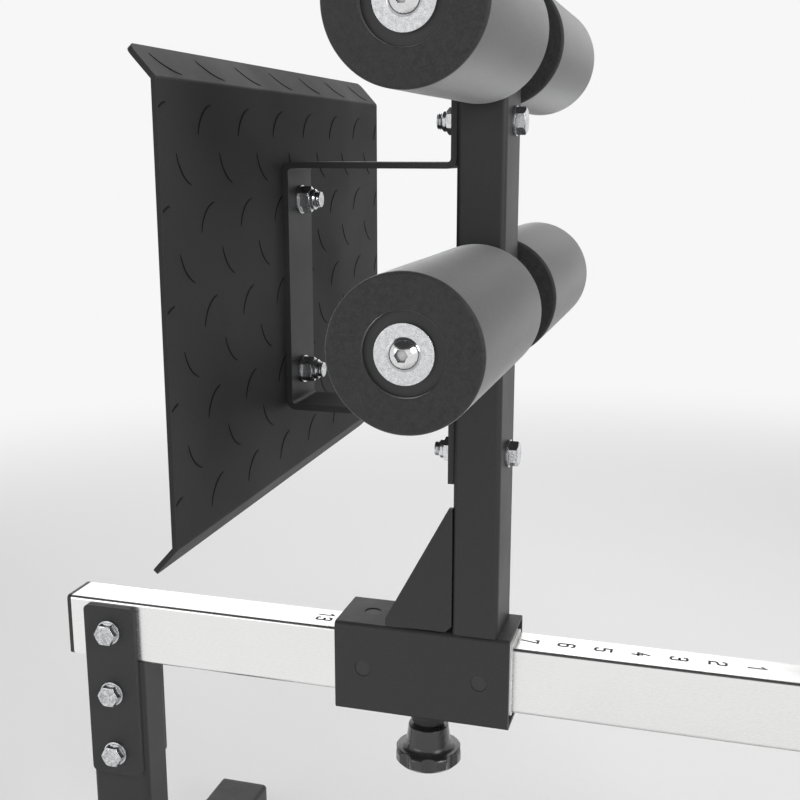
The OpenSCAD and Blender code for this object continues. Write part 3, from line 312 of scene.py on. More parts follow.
class Graph:
    """Short calls that add nodes to one shader tree and join them."""

    def __init__(self, tree: bpy.types.NodeTree) -> None:
        """Keeps the tree.

        Args:
            tree: the node tree to add to.
        """
        self.tree = tree

    def add(self, kind: str, inputs: dict | None = None, **settings) -> bpy.types.Node:
        """Adds a node.

        Args:
            kind: the node's type without its "ShaderNode" prefix.
            inputs: values or output sockets for its inputs, by name or number.
            settings: the node's own properties.

        Returns:
            The node.
        """
        node = self.tree.nodes.new("ShaderNode" + kind)
        for key, value in settings.items():
            setattr(node, key, value)
        self.feed(node, inputs or {})
        return node

    def feed(self, node: bpy.types.Node, inputs: dict) -> None:
        """Sets or links a node's inputs.

        Args:
            node: the node.
            inputs: values or output sockets, by the input's name or number.
        """
        for key, value in inputs.items():
            socket = node.inputs[key]
            if isinstance(value, bpy.types.NodeSocket):
                self.tree.links.new(value, socket)
            elif socket.type == "RGBA" and len(value) == 3:
                socket.default_value = (*value, 1.0)
            else:
                socket.default_value = value

    def math(self, operation: str, a, b=0.0, clamp: bool = False) -> bpy.types.NodeSocket:
        """The result of a Math node on two values or sockets."""
        return self.add("Math", {0: a, 1: b}, operation=operation, use_clamp=clamp).outputs[0]

    def remap(self, value, low: float, high: float, to_low: float,
              to_high: float) -> bpy.types.NodeSocket:
        """A value moved in a straight line from one range to another, and held to it."""
        return self.add("MapRange", {"Value": value, "From Min": low, "From Max": high,
                                     "To Min": to_low, "To Max": to_high}).outputs[0]

    def mix(self, factor, a, b) -> bpy.types.NodeSocket:
        """A colour between a (factor 0) and b (factor 1)."""
        a = (*a, 1.0) if isinstance(a, tuple) else a
        b = (*b, 1.0) if isinstance(b, tuple) else b
        return self.add("Mix", {0: factor, 6: a, 7: b}, data_type="RGBA").outputs[2]

    def place(self) -> bpy.types.NodeSocket:
        """The shaded point in the piece's own metres."""
        return self.add("TexCoord").outputs["Object"]

    def effect(self, tree: bpy.types.NodeTree, inputs: dict) -> bpy.types.Node:
        """Places a shared effect.

        Args:
            tree: the effect's node group.
            inputs: its inputs, by name.

        Returns:
            The group node.
        """
        node = self.add("Group")
        node.node_tree = tree
        self.feed(node, inputs)
        return node

    def over(self, tree: bpy.types.NodeTree, **inputs: float) -> bpy.types.NodeSocket:
        """A shared effect's first output over the piece's own metres, its inputs by name."""
        return self.effect(tree, {"Vector": self.place(), **inputs}).outputs[0]

    def bump(self, height, distance: float, normal=None) -> bpy.types.NodeSocket:
        """A normal tilted by the slope of a height of that many metres."""
        inputs = {"Distance": distance, "Height": height}
        if normal is not None:
            inputs["Normal"] = normal
        return self.add("Bump", inputs).outputs[0]


def empty_graph(owner: bpy.types.Material | bpy.types.World) -> Graph:
    """The owner's own shader graph, emptied."""
    owner.use_nodes = True
    owner.node_tree.nodes.clear()
    return Graph(owner.node_tree)


def new_effect(name: str, inputs: dict[str, float | None],
               outputs: dict[str, str]) -> tuple[Graph, bpy.types.Node, bpy.types.Node]:
    """Starts a shared effect, which is a shader node group.

    Args:
        name: the group's name.
        inputs: each input's name and number; None stands for a vector.
        outputs: each output's name and kind, Float or Vector.

    Returns:
        The group's graph, its input node and its output node.
    """
    tree = bpy.data.node_groups.new(name, "ShaderNodeTree")
    for label, value in inputs.items():
        kind = "NodeSocketVector" if value is None else "NodeSocketFloat"
        socket = tree.interface.new_socket(label, in_out="INPUT", socket_type=kind)
        if value is not None:
            socket.default_value = value
    for label, kind in outputs.items():
        tree.interface.new_socket(label, in_out="OUTPUT", socket_type="NodeSocket" + kind)
    return Graph(tree), tree.nodes.new("NodeGroupInput"), tree.nodes.new("NodeGroupOutput")


@cache
def soft_edges() -> bpy.types.NodeTree:
    """Rounds hard edges in shading: the normal averaged over Radius, and a mask of the edges.

    The mask is one minus the cosine between the rounded and the true normal, times ten.
    """
    graph, source, result = new_effect("soft_edges", {"Radius": 0.0006},
                                       {"Normal": "Vector", "Edge": "Float"})
    rounded = graph.add("Bevel", {"Radius": source.outputs["Radius"]}, samples=6).outputs[0]
    true = graph.add("NewGeometry").outputs["Normal"]
    cosine = graph.add("VectorMath", {0: rounded, 1: true},
                       operation="DOT_PRODUCT").outputs["Value"]
    edge = graph.math("MULTIPLY", graph.math("SUBTRACT", 1.0, cosine), 10.0, clamp=True)
    graph.feed(result, {"Normal": rounded, "Edge": edge})
    return graph.tree


@cache
def closed_corners() -> bpy.types.NodeTree:
    """Painted shade for sockets and inner corners: how much of the view within Distance is shut."""
    graph, source, result = new_effect("closed_corners", {"Distance": 0.003},
                                       {"Mask": "Float"})
    opening = graph.add("AmbientOcclusion", {"Distance": source.outputs["Distance"]},
                        samples=8).outputs["AO"]
    graph.feed(result, {"Mask": graph.remap(opening, 0.30, 0.72, 1.0, 0.0)})
    return graph.tree


@cache
def fine_grain() -> bpy.types.NodeTree:
    """Fine rounded lumps of about Size metres, with coarser ones under them."""
    graph, source, result = new_effect("fine_grain", {"Vector": None, "Size": 0.001},
                                       {"Height": "Float"})
    scale = graph.math("DIVIDE", 1.0, source.outputs["Size"])
    fine = graph.add("TexNoise", {"Vector": source.outputs["Vector"], "Scale": scale,
                                  "Detail": 3.0, "Roughness": 0.6}).outputs[0]
    coarse = graph.add("TexNoise", {"Vector": source.outputs["Vector"],
                                    "Scale": graph.math("MULTIPLY", scale, 0.31),
                                    "Detail": 1.0}).outputs[0]
    height = graph.math("ADD", graph.math("MULTIPLY", fine, 0.65),
                        graph.math("MULTIPLY", coarse, 0.35))
    graph.feed(result, {"Height": height})
    return graph.tree


@cache
def leather_grain() -> bpy.types.NodeTree:
    """Pebbled grain: the distance to the nearest of scattered points, with its grooves narrowed."""
    graph, source, result = new_effect("leather_grain", {"Vector": None, "Size": 0.0012},
                                       {"Height": "Float"})
    scale = graph.math("DIVIDE", 1.0, source.outputs["Size"])
    wander = graph.add("TexNoise", {"Vector": source.outputs["Vector"],
                                    "Scale": graph.math("MULTIPLY", scale, 0.5)}).outputs[1]
    shifted = graph.add("VectorMath", {0: wander, 1: (0.0009, 0.0009, 0.0009),
                                       2: source.outputs["Vector"]},
                        operation="MULTIPLY_ADD").outputs[0]
    cells = graph.add("TexVoronoi", {"Vector": shifted, "Scale": scale},
                      feature="DISTANCE_TO_EDGE").outputs["Distance"]
    graph.feed(result, {"Height": graph.remap(cells, 0.0, 0.28, 0.0, 1.0)})
    return graph.tree


@cache
def handling_marks() -> bpy.types.NodeTree:
    """Broad cloudy patches of about Size metres, where hands and cloths have passed."""
    graph, source, result = new_effect("handling_marks", {"Vector": None, "Size": 0.15},
                                       {"Mask": "Float"})
    scale = graph.math("DIVIDE", 1.0, source.outputs["Size"])
    cloud = graph.add("TexNoise", {"Vector": source.outputs["Vector"], "Scale": scale,
                                   "Detail": 5.0, "Roughness": 0.62,
                                   "Distortion": 0.4}).outputs[0]
    graph.feed(result, {"Mask": graph.remap(cloud, 0.3, 0.7, 0.0, 1.0)})
    return graph.tree


@cache
def drawn_lines() -> bpy.types.NodeTree:
    """Fine lines along X, as drawing or brushing leaves them: noise stretched to Length."""
    graph, source, result = new_effect("drawn_lines",
                                       {"Vector": None, "Length": 0.08, "Width": 0.0006},
                                       {"Height": "Float"})
    across = graph.math("DIVIDE", 1.0, source.outputs["Width"])
    along = graph.math("DIVIDE", 1.0, source.outputs["Length"])
    stretch = graph.add("CombineXYZ", {0: along, 1: across, 2: across}).outputs[0]
    place = graph.add("VectorMath", {0: source.outputs["Vector"], 1: stretch},
                      operation="MULTIPLY").outputs[0]
    lines = graph.add("TexNoise", {"Vector": place, "Scale": 1.0, "Detail": 4.0,
                                   "Roughness": 0.7}).outputs[0]
    graph.feed(result, {"Height": lines})
    return graph.tree


@cache
def light_dust() -> bpy.types.NodeTree:
    """A thin film of dust on faces that look up: their upward slope times a patchy cloud."""
    graph, source, result = new_effect("light_dust", {"Vector": None, "Amount": 0.2},
                                       {"Mask": "Float"})
    up = graph.add("SeparateXYZ", {0: graph.add("NewGeometry").outputs["Normal"]}).outputs[2]
    cloud = graph.add("TexNoise", {"Vector": source.outputs["Vector"], "Scale": 38.0,
                                   "Detail": 6.0, "Roughness": 0.7}).outputs[0]
    slope = graph.remap(up, 0.35, 1.0, 0.0, 1.0)
    patches = graph.remap(cloud, 0.35, 0.75, 0.0, 1.0)
    mask = graph.math("MULTIPLY", graph.math("MULTIPLY", slope, patches),
                      source.outputs["Amount"])
    graph.feed(result, {"Mask": mask})
    return graph.tree


# Finishes


@dataclass(frozen=True)
class Finish:
    """What a surface is made of. Each kind of finish dresses its own shader."""

    name: str
    colour: Colour
    roughness: float
    edge: float = 0.6 * MM

    def material(self) -> bpy.types.Material:
        """The finish's material, made once under a name of its own and then shared."""
        name = f"{self.name}_look"
        made = bpy.data.materials.get(name)
        if made is not None:
            return made
        made = bpy.data.materials.new(name)
        made.diffuse_color = (*self.colour, 1.0)
        graph = empty_graph(made)
        shader = graph.add("BsdfPrincipled", {"Base Color": self.colour,
                                              "Roughness": self.roughness})
        graph.add("OutputMaterial", {"Surface": shader.outputs[0]})
        self.dress(graph, shader)
        return made

    def dress(self, graph: Graph, shader: bpy.types.Node) -> None:
        """Adds the finish's own detail; each kind has its own.

        Args:
            graph: the material's graph.
            shader: its Principled node.
        """
        raise NotImplementedError

    def gloss(self, graph: Graph, mask: bpy.types.NodeSocket, less: float,
              more: float) -> bpy.types.NodeSocket:
        """The roughness: less by one amount where a mask is 0, more by another where it is 1."""
        return graph.remap(mask, 0.0, 1.0, self.roughness - less, self.roughness + more)

    def lighter(self, factor: float) -> Colour:
        """The finish's colour times a factor, held to one."""
        return tuple(min(1.0, c * factor) for c in self.colour)


@dataclass(frozen=True)
class PowderCoat(Finish):
    """Matte baked coat with fine orange peel, rounded edges with painted highlights, and faint
    handling marks.
    """

    peel: float = 0.9 * MM
    peel_depth: float = 0.05 * MM
    # how much lighter the painted highlights on the edges are
    edge_gain: float = 2.2
    dust: float = 0.10
    dust_colour: Colour = (0.24, 0.235, 0.225)
    shine: float = 0.35

    def dress(self, graph: Graph, shader: bpy.types.Node) -> None:
        """Peel in the normal, marks in the gloss, painted edge highlights and dust in the colour.
        """
        edges = graph.effect(soft_edges(), {"Radius": self.edge})
        peel = graph.over(fine_grain(), Size=self.peel)
        marks = graph.over(handling_marks(), Size=0.13)
        dust = graph.over(light_dust(), Amount=self.dust)
        base = graph.mix(marks, self.lighter(0.92), self.lighter(1.08))
        speckled = graph.mix(graph.remap(peel, 0.35, 0.65, 0.0, 1.0),
                             base, self.lighter(1.25))
        # painted highlight: the edges are lighter in colour, standing for light caught on them
        edge_highlit = graph.mix(graph.math("MULTIPLY", edges.outputs["Edge"], 0.6), speckled,
                         self.lighter(self.edge_gain))
        colour = graph.mix(dust, edge_highlit, self.dust_colour)
        gloss = self.gloss(graph, marks, 0.05, 0.06)
        normal = graph.bump(peel, self.peel_depth, edges.outputs["Normal"])
        graph.feed(shader, {"Base Color": colour, "Roughness": gloss, "Normal": normal,
                            "Specular IOR Level": self.shine})


@dataclass(frozen=True)
class DrawnStainless(Finish):
    """Satin stainless tube with drawing lines along it."""

    def dress(self, graph: Graph, shader: bpy.types.Node) -> None:
        """Lines in the normal and the gloss, and clouds in the colour."""
        edges = graph.effect(soft_edges(), {"Radius": self.edge})
        lines = graph.over(drawn_lines(), Length=0.09, Width=0.0007)
        marks = graph.over(handling_marks(), Size=0.09)
        colour = graph.mix(lines, self.lighter(0.965), self.lighter(1.03))
        clouded = graph.mix(graph.math("MULTIPLY", marks, 0.25), colour,
                            self.lighter(0.93))
        gloss = graph.math("ADD", graph.remap(lines, 0.3, 0.7, self.roughness - 0.04,
                                              self.roughness + 0.06),
                           graph.math("MULTIPLY", marks, 0.04))
        normal = graph.bump(lines, 0.007 * MM, edges.outputs["Normal"])
        graph.feed(shader, {"Base Color": clouded, "Metallic": 1.0, "Roughness": gloss,
                            "Normal": normal, "Anisotropic": 0.35})


@dataclass(frozen=True)
class ZincPlate(Finish):
    """Bright zinc plating: blasted faces with a fine speckle, and clean bright edges."""

    speckle: float = 1.1 * MM
    speckle_depth: float = 0.06 * MM
    mottle: float = 0.62
    # how far round a point the painted shade in sockets and corners looks
    hollow: float = 3.0 * MM

    def dress(self, graph: Graph, shader: bpy.types.Node) -> None:
        """Speckle in the colour, gloss and normal; sockets and corners get painted shade."""
        edges = graph.effect(soft_edges(), {"Radius": self.edge})
        speckle = graph.over(fine_grain(), Size=self.speckle)
        marks = graph.over(handling_marks(), Size=0.02)
        spots = graph.remap(speckle, 0.36, 0.62, 0.0, 1.0)
        colour = graph.mix(spots, self.lighter(self.mottle), self.lighter(1.10))
        clouded = graph.mix(graph.math("MULTIPLY", marks, 0.4), colour,
                            self.lighter(0.80))
        # painted shade: sockets and inner corners darkened by how shut in they are
        corners = graph.effect(closed_corners(), {"Distance": self.hollow})
        socket_shaded = graph.mix(corners.outputs[0], clouded, self.lighter(0.07))
        gloss = self.gloss(graph, marks, 0.05, 0.07)
        normal = graph.bump(speckle, self.speckle_depth, edges.outputs["Normal"])
        graph.feed(shader, {"Base Color": socket_shaded, "Metallic": 1.0, "Roughness": gloss,
                            "Normal": normal})


@dataclass(frozen=True)
class MouldedPlastic(Finish):
    """Moulded black or white plastic with a fine spark-eroded texture."""

    texture: float = 0.5 * MM
    texture_depth: float = 0.02 * MM
    coat: float = 0.0

    def dress(self, graph: Graph, shader: bpy.types.Node) -> None:
        """Texture in the normal, marks in the gloss, painted highlights on the edges."""
        edges = graph.effect(soft_edges(), {"Radius": self.edge})
        texture = graph.over(fine_grain(), Size=self.texture)
        marks = graph.over(handling_marks(), Size=0.05)
        base = graph.mix(marks, self.lighter(0.9), self.lighter(1.12))
        # painted highlight: the edges are lighter in colour, standing for light caught on them
        colour = graph.mix(graph.math("MULTIPLY", edges.outputs["Edge"], 0.35), base,
                           self.lighter(1.7))
        gloss = self.gloss(graph, marks, 0.04, 0.06)
        normal = graph.bump(texture, self.texture_depth, edges.outputs["Normal"])
        graph.feed(shader, {"Base Color": colour, "Roughness": gloss, "Normal": normal,
                            "Coat Weight": self.coat, "Coat Roughness": 0.12})


@dataclass(frozen=True)
class CellFoam(Finish):
    """Closed-cell foam with a thin leathery skin and a soft bloom at grazing angles."""

    pores: float = 1.5 * MM
    pore_depth: float = 0.34 * MM
    bloom: float = 0.95

    def dress(self, graph: Graph, shader: bpy.types.Node) -> None:
        """Pores and creases in the normal, speckle and clouds in the colour."""
        pores = graph.over(fine_grain(), Size=self.pores)
        creases = graph.over(leather_grain(), Size=2.6 * MM)
        marks = graph.over(handling_marks(), Size=0.08)
        spots = graph.remap(pores, 0.34, 0.66, 0.0, 1.0)
        base = graph.mix(spots, self.lighter(0.55), self.lighter(1.5))
        colour = graph.mix(graph.math("MULTIPLY", marks, 0.4), base,
                           self.lighter(1.18))
        gloss = self.gloss(graph, spots, 0.06, 0.08)
        creased = graph.bump(creases, 0.05 * MM)
        normal = graph.bump(pores, self.pore_depth, creased)
        graph.feed(shader, {"Base Color": colour, "Roughness": gloss, "Normal": normal,
                            "Specular IOR Level": 0.3,
                            "Sheen Weight": self.bloom, "Sheen Roughness": 0.36,
                            "Sheen Tint": (0.72, 0.72, 0.73)})


@dataclass(frozen=True)
class GrainedVinyl(Finish):
    """Black upholstery vinyl with a pebbled grain."""

    grain: float = 1.5 * MM
    grain_depth: float = 0.13 * MM

    def dress(self, graph: Graph, shader: bpy.types.Node) -> None:
        """Grain in the normal and the gloss, rubbed patches in the colour."""
        grain = graph.over(leather_grain(), Size=self.grain)
        fine = graph.over(fine_grain(), Size=0.35 * MM)
        marks = graph.over(handling_marks(), Size=0.11)
        base = graph.mix(grain, self.lighter(0.6), self.lighter(1.15))
        colour = graph.mix(graph.math("MULTIPLY", marks, 0.5), base,
                           self.lighter(1.4))
        gloss = graph.math("ADD", self.gloss(graph, grain, -0.12, -0.04),
                           graph.math("MULTIPLY", marks, 0.07))
        pebbled = graph.bump(grain, self.grain_depth)
        normal = graph.bump(fine, 0.012 * MM, pebbled)
        graph.feed(shader, {"Base Color": colour, "Roughness": gloss, "Normal": normal,
                            "Specular IOR Level": 0.45})


@dataclass(frozen=True)
class MouldedRubber(Finish):
    """Moulded rubber: dull, with a fine texture and a little bloom."""

    texture: float = 0.7 * MM

    def dress(self, graph: Graph, shader: bpy.types.Node) -> None:
        """Texture in the normal, clouds in the colour and the gloss, painted highlights on the
        edges.
        """
        edges = graph.effect(soft_edges(), {"Radius": self.edge})
        texture = graph.over(fine_grain(), Size=self.texture)
        marks = graph.over(handling_marks(), Size=0.06)
        base = graph.mix(marks, self.lighter(0.85), self.lighter(1.3))
        # painted highlight: the edges are lighter in colour, standing for light caught on them
        colour = graph.mix(graph.math("MULTIPLY", edges.outputs["Edge"], 0.4), base,
                           self.lighter(2.0))
        gloss = self.gloss(graph, marks, 0.08, 0.08)
        normal = graph.bump(texture, 0.05 * MM, edges.outputs["Normal"])
        graph.feed(shader, {"Base Color": colour, "Roughness": gloss, "Normal": normal,
                            "Sheen Weight": 0.12, "Sheen Roughness": 0.5})


@dataclass(frozen=True)
class Plywood(Finish):
    """Birch plywood: plies across its thickness, long grain on its faces."""

    ply: float = 2.0 * MM

    def dress(self, graph: Graph, shader: bpy.types.Node) -> None:
        """Plies as a wave over height, long grain as stretched noise, both in the colour."""
        edges = graph.effect(soft_edges(), {"Radius": self.edge})
        grain = graph.over(drawn_lines(), Length=0.06, Width=0.002)
        pores = graph.over(fine_grain(), Size=0.6 * MM)
        height = graph.add("SeparateXYZ", {0: graph.place()}).outputs[2]
        wave = graph.math("SINE", graph.math("MULTIPLY", height, 2 * math.pi / (2 * self.ply)))
        plies = graph.remap(wave, -0.25, 0.25, 0.0, 1.0)
        long_grain = graph.mix(graph.remap(grain, 0.35, 0.65, 0.0, 1.0),
                               self.lighter(0.72), self.lighter(1.15))
        side = graph.add("SeparateXYZ",
                         {0: graph.add("NewGeometry").outputs["Normal"]}).outputs[2]
        flat = graph.math("ABSOLUTE", side)
        layered = graph.mix(plies, self.lighter(0.62), self.lighter(1.12))
        colour = graph.mix(graph.remap(flat, 0.6, 0.9, 0.0, 1.0), layered, long_grain)
        normal = graph.bump(pores, 0.06 * MM, edges.outputs["Normal"])
        graph.feed(shader, {"Base Color": colour, "Normal": normal})


@dataclass(frozen=True)
class Thread(Finish):
    """Twisted sewing thread."""

    def dress(self, graph: Graph, shader: bpy.types.Node) -> None:
        """A fine twist in the colour and the normal."""
        twist = graph.over(fine_grain(), Size=0.4 * MM)
        colour = graph.mix(twist, self.lighter(0.6), self.lighter(1.5))
        graph.feed(shader, {"Base Color": colour,
                            "Normal": graph.bump(twist, 0.05 * MM),
                            "Sheen Weight": 0.2})


COAT = PowderCoat("black_powder_coat", (0.028, 0.028, 0.0295), 0.50)
WELD_COAT = PowderCoat("coated_weld", (0.028, 0.028, 0.0295), 0.46, peel=1.6 * MM,
                       peel_depth=0.12 * MM)
PLATE_COAT = PowderCoat("foot_plate_coat", (0.032, 0.032, 0.0335), 0.50, peel=0.8 * MM,
                        edge=0.9 * MM, edge_gain=2.2, shine=0.06)
# painted shade: the tread is coloured far darker than the plate, standing for the shadow along its
# crescents
TREAD_SHADE = PowderCoat("tread_painted_shade", (0.007, 0.007, 0.0075), 0.62, dust=0.0, edge_gain=1.0,
                   shine=0.1)
STAINLESS = DrawnStainless("satin_stainless", (0.86, 0.86, 0.855), 0.23, edge=0.5 * MM)
ETCHING = PowderCoat("etched_number", (0.08, 0.08, 0.082), 0.65, dust=0.0, edge_gain=1.0,
                     shine=0.05)
ZINC = ZincPlate("bright_zinc", (0.76, 0.765, 0.78), 0.24, edge=0.5 * MM)
ZINC_HEAD = ZincPlate("zinc_heads", (0.70, 0.705, 0.72), 0.22, edge=0.6 * MM,
                      speckle=2.4 * MM, speckle_depth=0.10 * MM, mottle=0.40)
# the long reach paints shade deep into the axle bolts' sockets
POLISHED = ZincPlate("polished_steel", (0.74, 0.74, 0.745), 0.14, edge=0.4 * MM,
                     speckle=0.5 * MM, speckle_depth=0.006 * MM, mottle=0.9,
                     hollow=8.0 * MM)
FOAM = CellFoam("closed_cell_foam", (0.026, 0.026, 0.027), 0.60)
PLASTIC = MouldedPlastic("black_plastic", (0.020, 0.020, 0.021), 0.42)
PLUG = MouldedPlastic("coated_plug", (0.028, 0.028, 0.029), 0.50)
KNOB = MouldedPlastic("knob_plastic", (0.025, 0.025, 0.026), 0.26, texture=0.9 * MM,
                      texture_depth=0.010 * MM, edge=1.4 * MM, coat=0.35)
LINER = MouldedPlastic("glide_polymer", (0.80, 0.80, 0.79), 0.34)
VINYL = GrainedVinyl("pad_vinyl", (0.019, 0.019, 0.020), 0.40)
THREAD = Thread("seam_thread", (0.045, 0.045, 0.047), 0.62)
RUBBER = MouldedRubber("moulded_rubber", (0.020, 0.020, 0.020), 0.70)
BOARD = Plywood("pad_plywood", (0.45, 0.30, 0.165), 0.62)


# Camera and studio


@dataclass(frozen=True)
class PhotoCamera:
    """The photograph's viewpoint, worked out by fitting the part's edges to it."""

    place: tuple[float, float, float] = (-0.0899, -1.1500, 1.0390)
    down: float = 12.471
    left: float = 16.162
    lens: float = 50.62

    def build(self) -> None:
        """Makes the camera and hands it to the scene."""
        data = bpy.data.cameras.new("photo_camera")
        data.lens, data.sensor_width, data.clip_end = self.lens, 36.0, 100.0
        camera = new_object("photo_camera", data)
        camera.location = self.place
        camera.rotation_euler = (math.radians(90 - self.down), 0.0, math.radians(self.left))
        bpy.context.scene.camera = camera


@dataclass(frozen=True)
class SoftBox:
    """One soft studio lamp."""

    name: str
    place: tuple[float, float, float]
    aim: tuple[float, float, float]
    size: tuple[float, float]
    watts: float
    mirrored: bool = True

    def build(self) -> None:
        """Makes the lamp and turns it to its aim; only a mirrored lamp shows in shiny pieces."""
        data = bpy.data.lights.new(self.name, "AREA")
        data.shape, data.energy = "RECTANGLE", self.watts
        data.size, data.size_y = self.size
        lamp = new_object(self.name, data)
        direction = Vector(self.aim) - Vector(self.place)
        turn = direction.to_track_quat("-Z", "Y").to_matrix().to_4x4()
        lamp.matrix_world = Matrix.Translation(self.place) @ turn
        lamp.visible_camera = False
        lamp.visible_glossy = self.mirrored


@dataclass(frozen=True)
class Studio:
    """A plain pale floor, a pale backdrop and soft lamps."""

    floor_radius: float = 14.0
    floor_sides: int = 96
    floor_rings: int = 24
    floor_drop: float = 0.2 * MM
    ground_low: float = 0.80
    ground_high: float = 0.84
    ground_grain: float = 4.0 * MM
    fade_from: float = 1.7
    fade_to: float = 4.2
    pale: float = 0.93
    ceiling: float = 0.05
    wall_top: float = 0.48
    ceiling_from: float = 0.58
    mirror_from: float = 0.60
    mirror_to: float = 0.85
    ambient: float = 0.40
    lamps: tuple[SoftBox, ...] = (
        SoftBox("key", (2.5, -1.5, 2.2), (-0.3, 0.0, 0.7), (1.5, 1.5), 62.0),
        SoftBox("top", (-0.6, 0.5, 3.4), (-0.3, 0.0, 0.6), (2.2, 1.4), 30.0,
                mirrored=False),
        SoftBox("fill", (-2.4, -2.4, 1.5), (-0.2, 0.0, 0.7), (1.6, 1.6), 13.0),
        SoftBox("back", (-1.3, 3.0, 1.9), (-0.4, 0.0, 0.52), (3.2, 1.4), 11.0),
        SoftBox("rim", (-1.2, 2.5, 3.1), (-0.4, 0.0, 0.52), (3.2, 1.2), 22.0),
    )

    def build(self) -> None:
        """Makes the world, the floor and the lamps."""
        self.make_world()
        self.make_floor()
        for lamp in self.lamps:
            lamp.build()
        bpy.context.scene.view_settings.view_transform = "Standard"

    def make_world(self) -> None:
        """Rays that see the backdrop get pale walls under a dark ceiling; others get soft light.

        The walls change into the ceiling between two heights, each the sine of an elevation.
        """
        world = bpy.data.worlds.new("studio")
        graph = empty_graph(world)
        height = graph.add("SeparateXYZ", {0: graph.add("TexCoord").outputs["Generated"]})
        wall = graph.mix(graph.remap(height.outputs[2], self.wall_top, self.ceiling_from,
                                     0.0, 1.0), (self.pale,) * 3, (self.ceiling,) * 3)
        path = graph.add("LightPath")
        seen = graph.math("MAXIMUM", path.outputs["Is Camera Ray"],
                          graph.math("MAXIMUM", path.outputs["Is Glossy Ray"],
                                     path.outputs["Is Transmission Ray"]))
        colour = graph.mix(seen, (self.ambient,) * 3, wall)
        background = graph.add("Background", {"Color": colour, "Strength": 1.0})
        graph.add("OutputWorld", {"Surface": background.outputs[0]})
        bpy.context.scene.world = world

    def make_floor(self) -> None:
        """A pale disc that fades into the backdrop, so that no horizon shows.

        A point is at radius times (cos t, sin t); the rings are closer together near the middle.
        """
        turn = np.linspace(0, 2 * math.pi, self.floor_sides, endpoint=False)
        radius = self.floor_radius * np.linspace(0.02, 1.0, self.floor_rings)[:, None] ** 2
        points = np.stack([radius * np.cos(turn), radius * np.sin(turn),
                           0 * radius * turn - self.floor_drop], axis=-1)
        grid = Surface.grid(points, wrap_cols=True)
        disc = Surface(np.concatenate([grid.points, [[0.0, 0.0, -self.floor_drop]]]),
                       grid.quads[:, ::-1], fan(len(grid.points), np.arange(self.floor_sides)))
        floor = new_object("floor", disc.mesh("floor", self.floor_material()))

    def floor_material(self) -> bpy.types.Material:
        """Pale matte ground near the object, the backdrop's own colour further out.

        Shiny pieces mirror the backdrop's colour already from a little way out.
        """
        made = bpy.data.materials.new("studio_floor")
        graph = empty_graph(made)
        away = graph.add("VectorMath", {0: graph.place()}, operation="LENGTH").outputs["Value"]
        fade = graph.add("MapRange", {"Value": away, "From Min": self.fade_from,
                                      "From Max": self.fade_to},
                         interpolation_type="SMOOTHERSTEP").outputs[0]
        colour = graph.mix(graph.over(fine_grain(), Size=self.ground_grain),
                           (self.ground_low,) * 3, (self.ground_high,) * 3)
        ground = graph.add("BsdfDiffuse", {"Color": colour})
        glow = graph.add("Emission", {"Color": (self.pale,) * 3, "Strength": 1.0})
        mirrored = graph.math("MULTIPLY", graph.add("LightPath").outputs["Is Glossy Ray"],
                              graph.remap(away, self.mirror_from, self.mirror_to, 0.0, 1.0))
        mixed = graph.add("MixShader", {0: graph.math("MAXIMUM", fade, mirrored),
                                        1: ground.outputs[0], 2: glow.outputs[0]})
        graph.add("OutputMaterial", {"Surface": mixed.outputs[0]})
        return made


# Sub-assemblies


@dataclass(frozen=True)
class NodeFinishes:
    """The finish that each carried-over CAD node gets."""

    coated: tuple[str, ...] = (
        "rear_leg", "rear_foot", "base_rail", "front_foot", "rear_joint_plates",
        "front_upright", "front_joint_plates", "front_brace", "pad_crossbar", "pad_plates",
        "handle_bars", "wheel_brackets", "carriage_sleeve", "foot_post", "gusset_plates",
        "axle_collars", "foot_bracket", "pin_barrel")
    plated: tuple[str, ...] = (
        "rear_joint_nuts", "front_joint_nuts", "joint_washers", "pad_screws", "wheel_axles",
        "upper_axle", "lower_axle", "axle_washers", "foot_plate_nuts", "bracket_washers",
        "bracket_nuts", "pin_spring", "pin_plunger")
    heads: tuple[str, ...] = (
        "rear_joint_bolts", "front_joint_bolts", "bracket_bolts", "foot_plate_bolts")
    polished: tuple[str, ...] = ("axle_bolts",)
    moulded: tuple[str, ...] = (
        "beam_end_cap", "foot_end_caps", "crossbar_caps", "post_cap",
        "upper_left_core", "upper_right_core", "lower_left_core", "lower_right_core")
    plugs: tuple[str, ...] = ("glide_plugs",)
    rubber: tuple[str, ...] = ("rubber_feet", "handle_grips", "left_wheel", "right_wheel")
    others: tuple[tuple[str, Finish], ...] = (
        ("slide_beam", STAINLESS), ("foot_plate", PLATE_COAT), ("glide_liners", LINER),
        ("pad_boards", BOARD), ("pin_knob", KNOB), ("left_hip_pad", VINYL),
        ("right_hip_pad", VINYL), ("upper_left_foam", FOAM), ("upper_right_foam", FOAM),
        ("lower_left_foam", FOAM), ("lower_right_foam", FOAM))

    def build(self) -> None:
        """Puts a finish into every material slot of every CAD node."""
        groups = ((self.coated, COAT), (self.plated, ZINC), (self.heads, ZINC_HEAD),
                  (self.polished, POLISHED), (self.moulded, PLASTIC), (self.plugs, PLUG),
                  (self.rubber, RUBBER))
        finishes = dict(self.others)
        finishes.update({node: finish for nodes, finish in groups for node in nodes})
        missing = sorted(set(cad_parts) ^ set(finishes))
        if missing:
            raise ValueError(f"no finish for, or no such node as, {missing}")
        for node, finish in finishes.items():
            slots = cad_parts[node].material_slots
            if not slots:
                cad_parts[node].data.materials.append(finish.material())
            for slot in slots:
                slot.material = finish.material()
            LOG.info("%s: %s", node, finish.name)


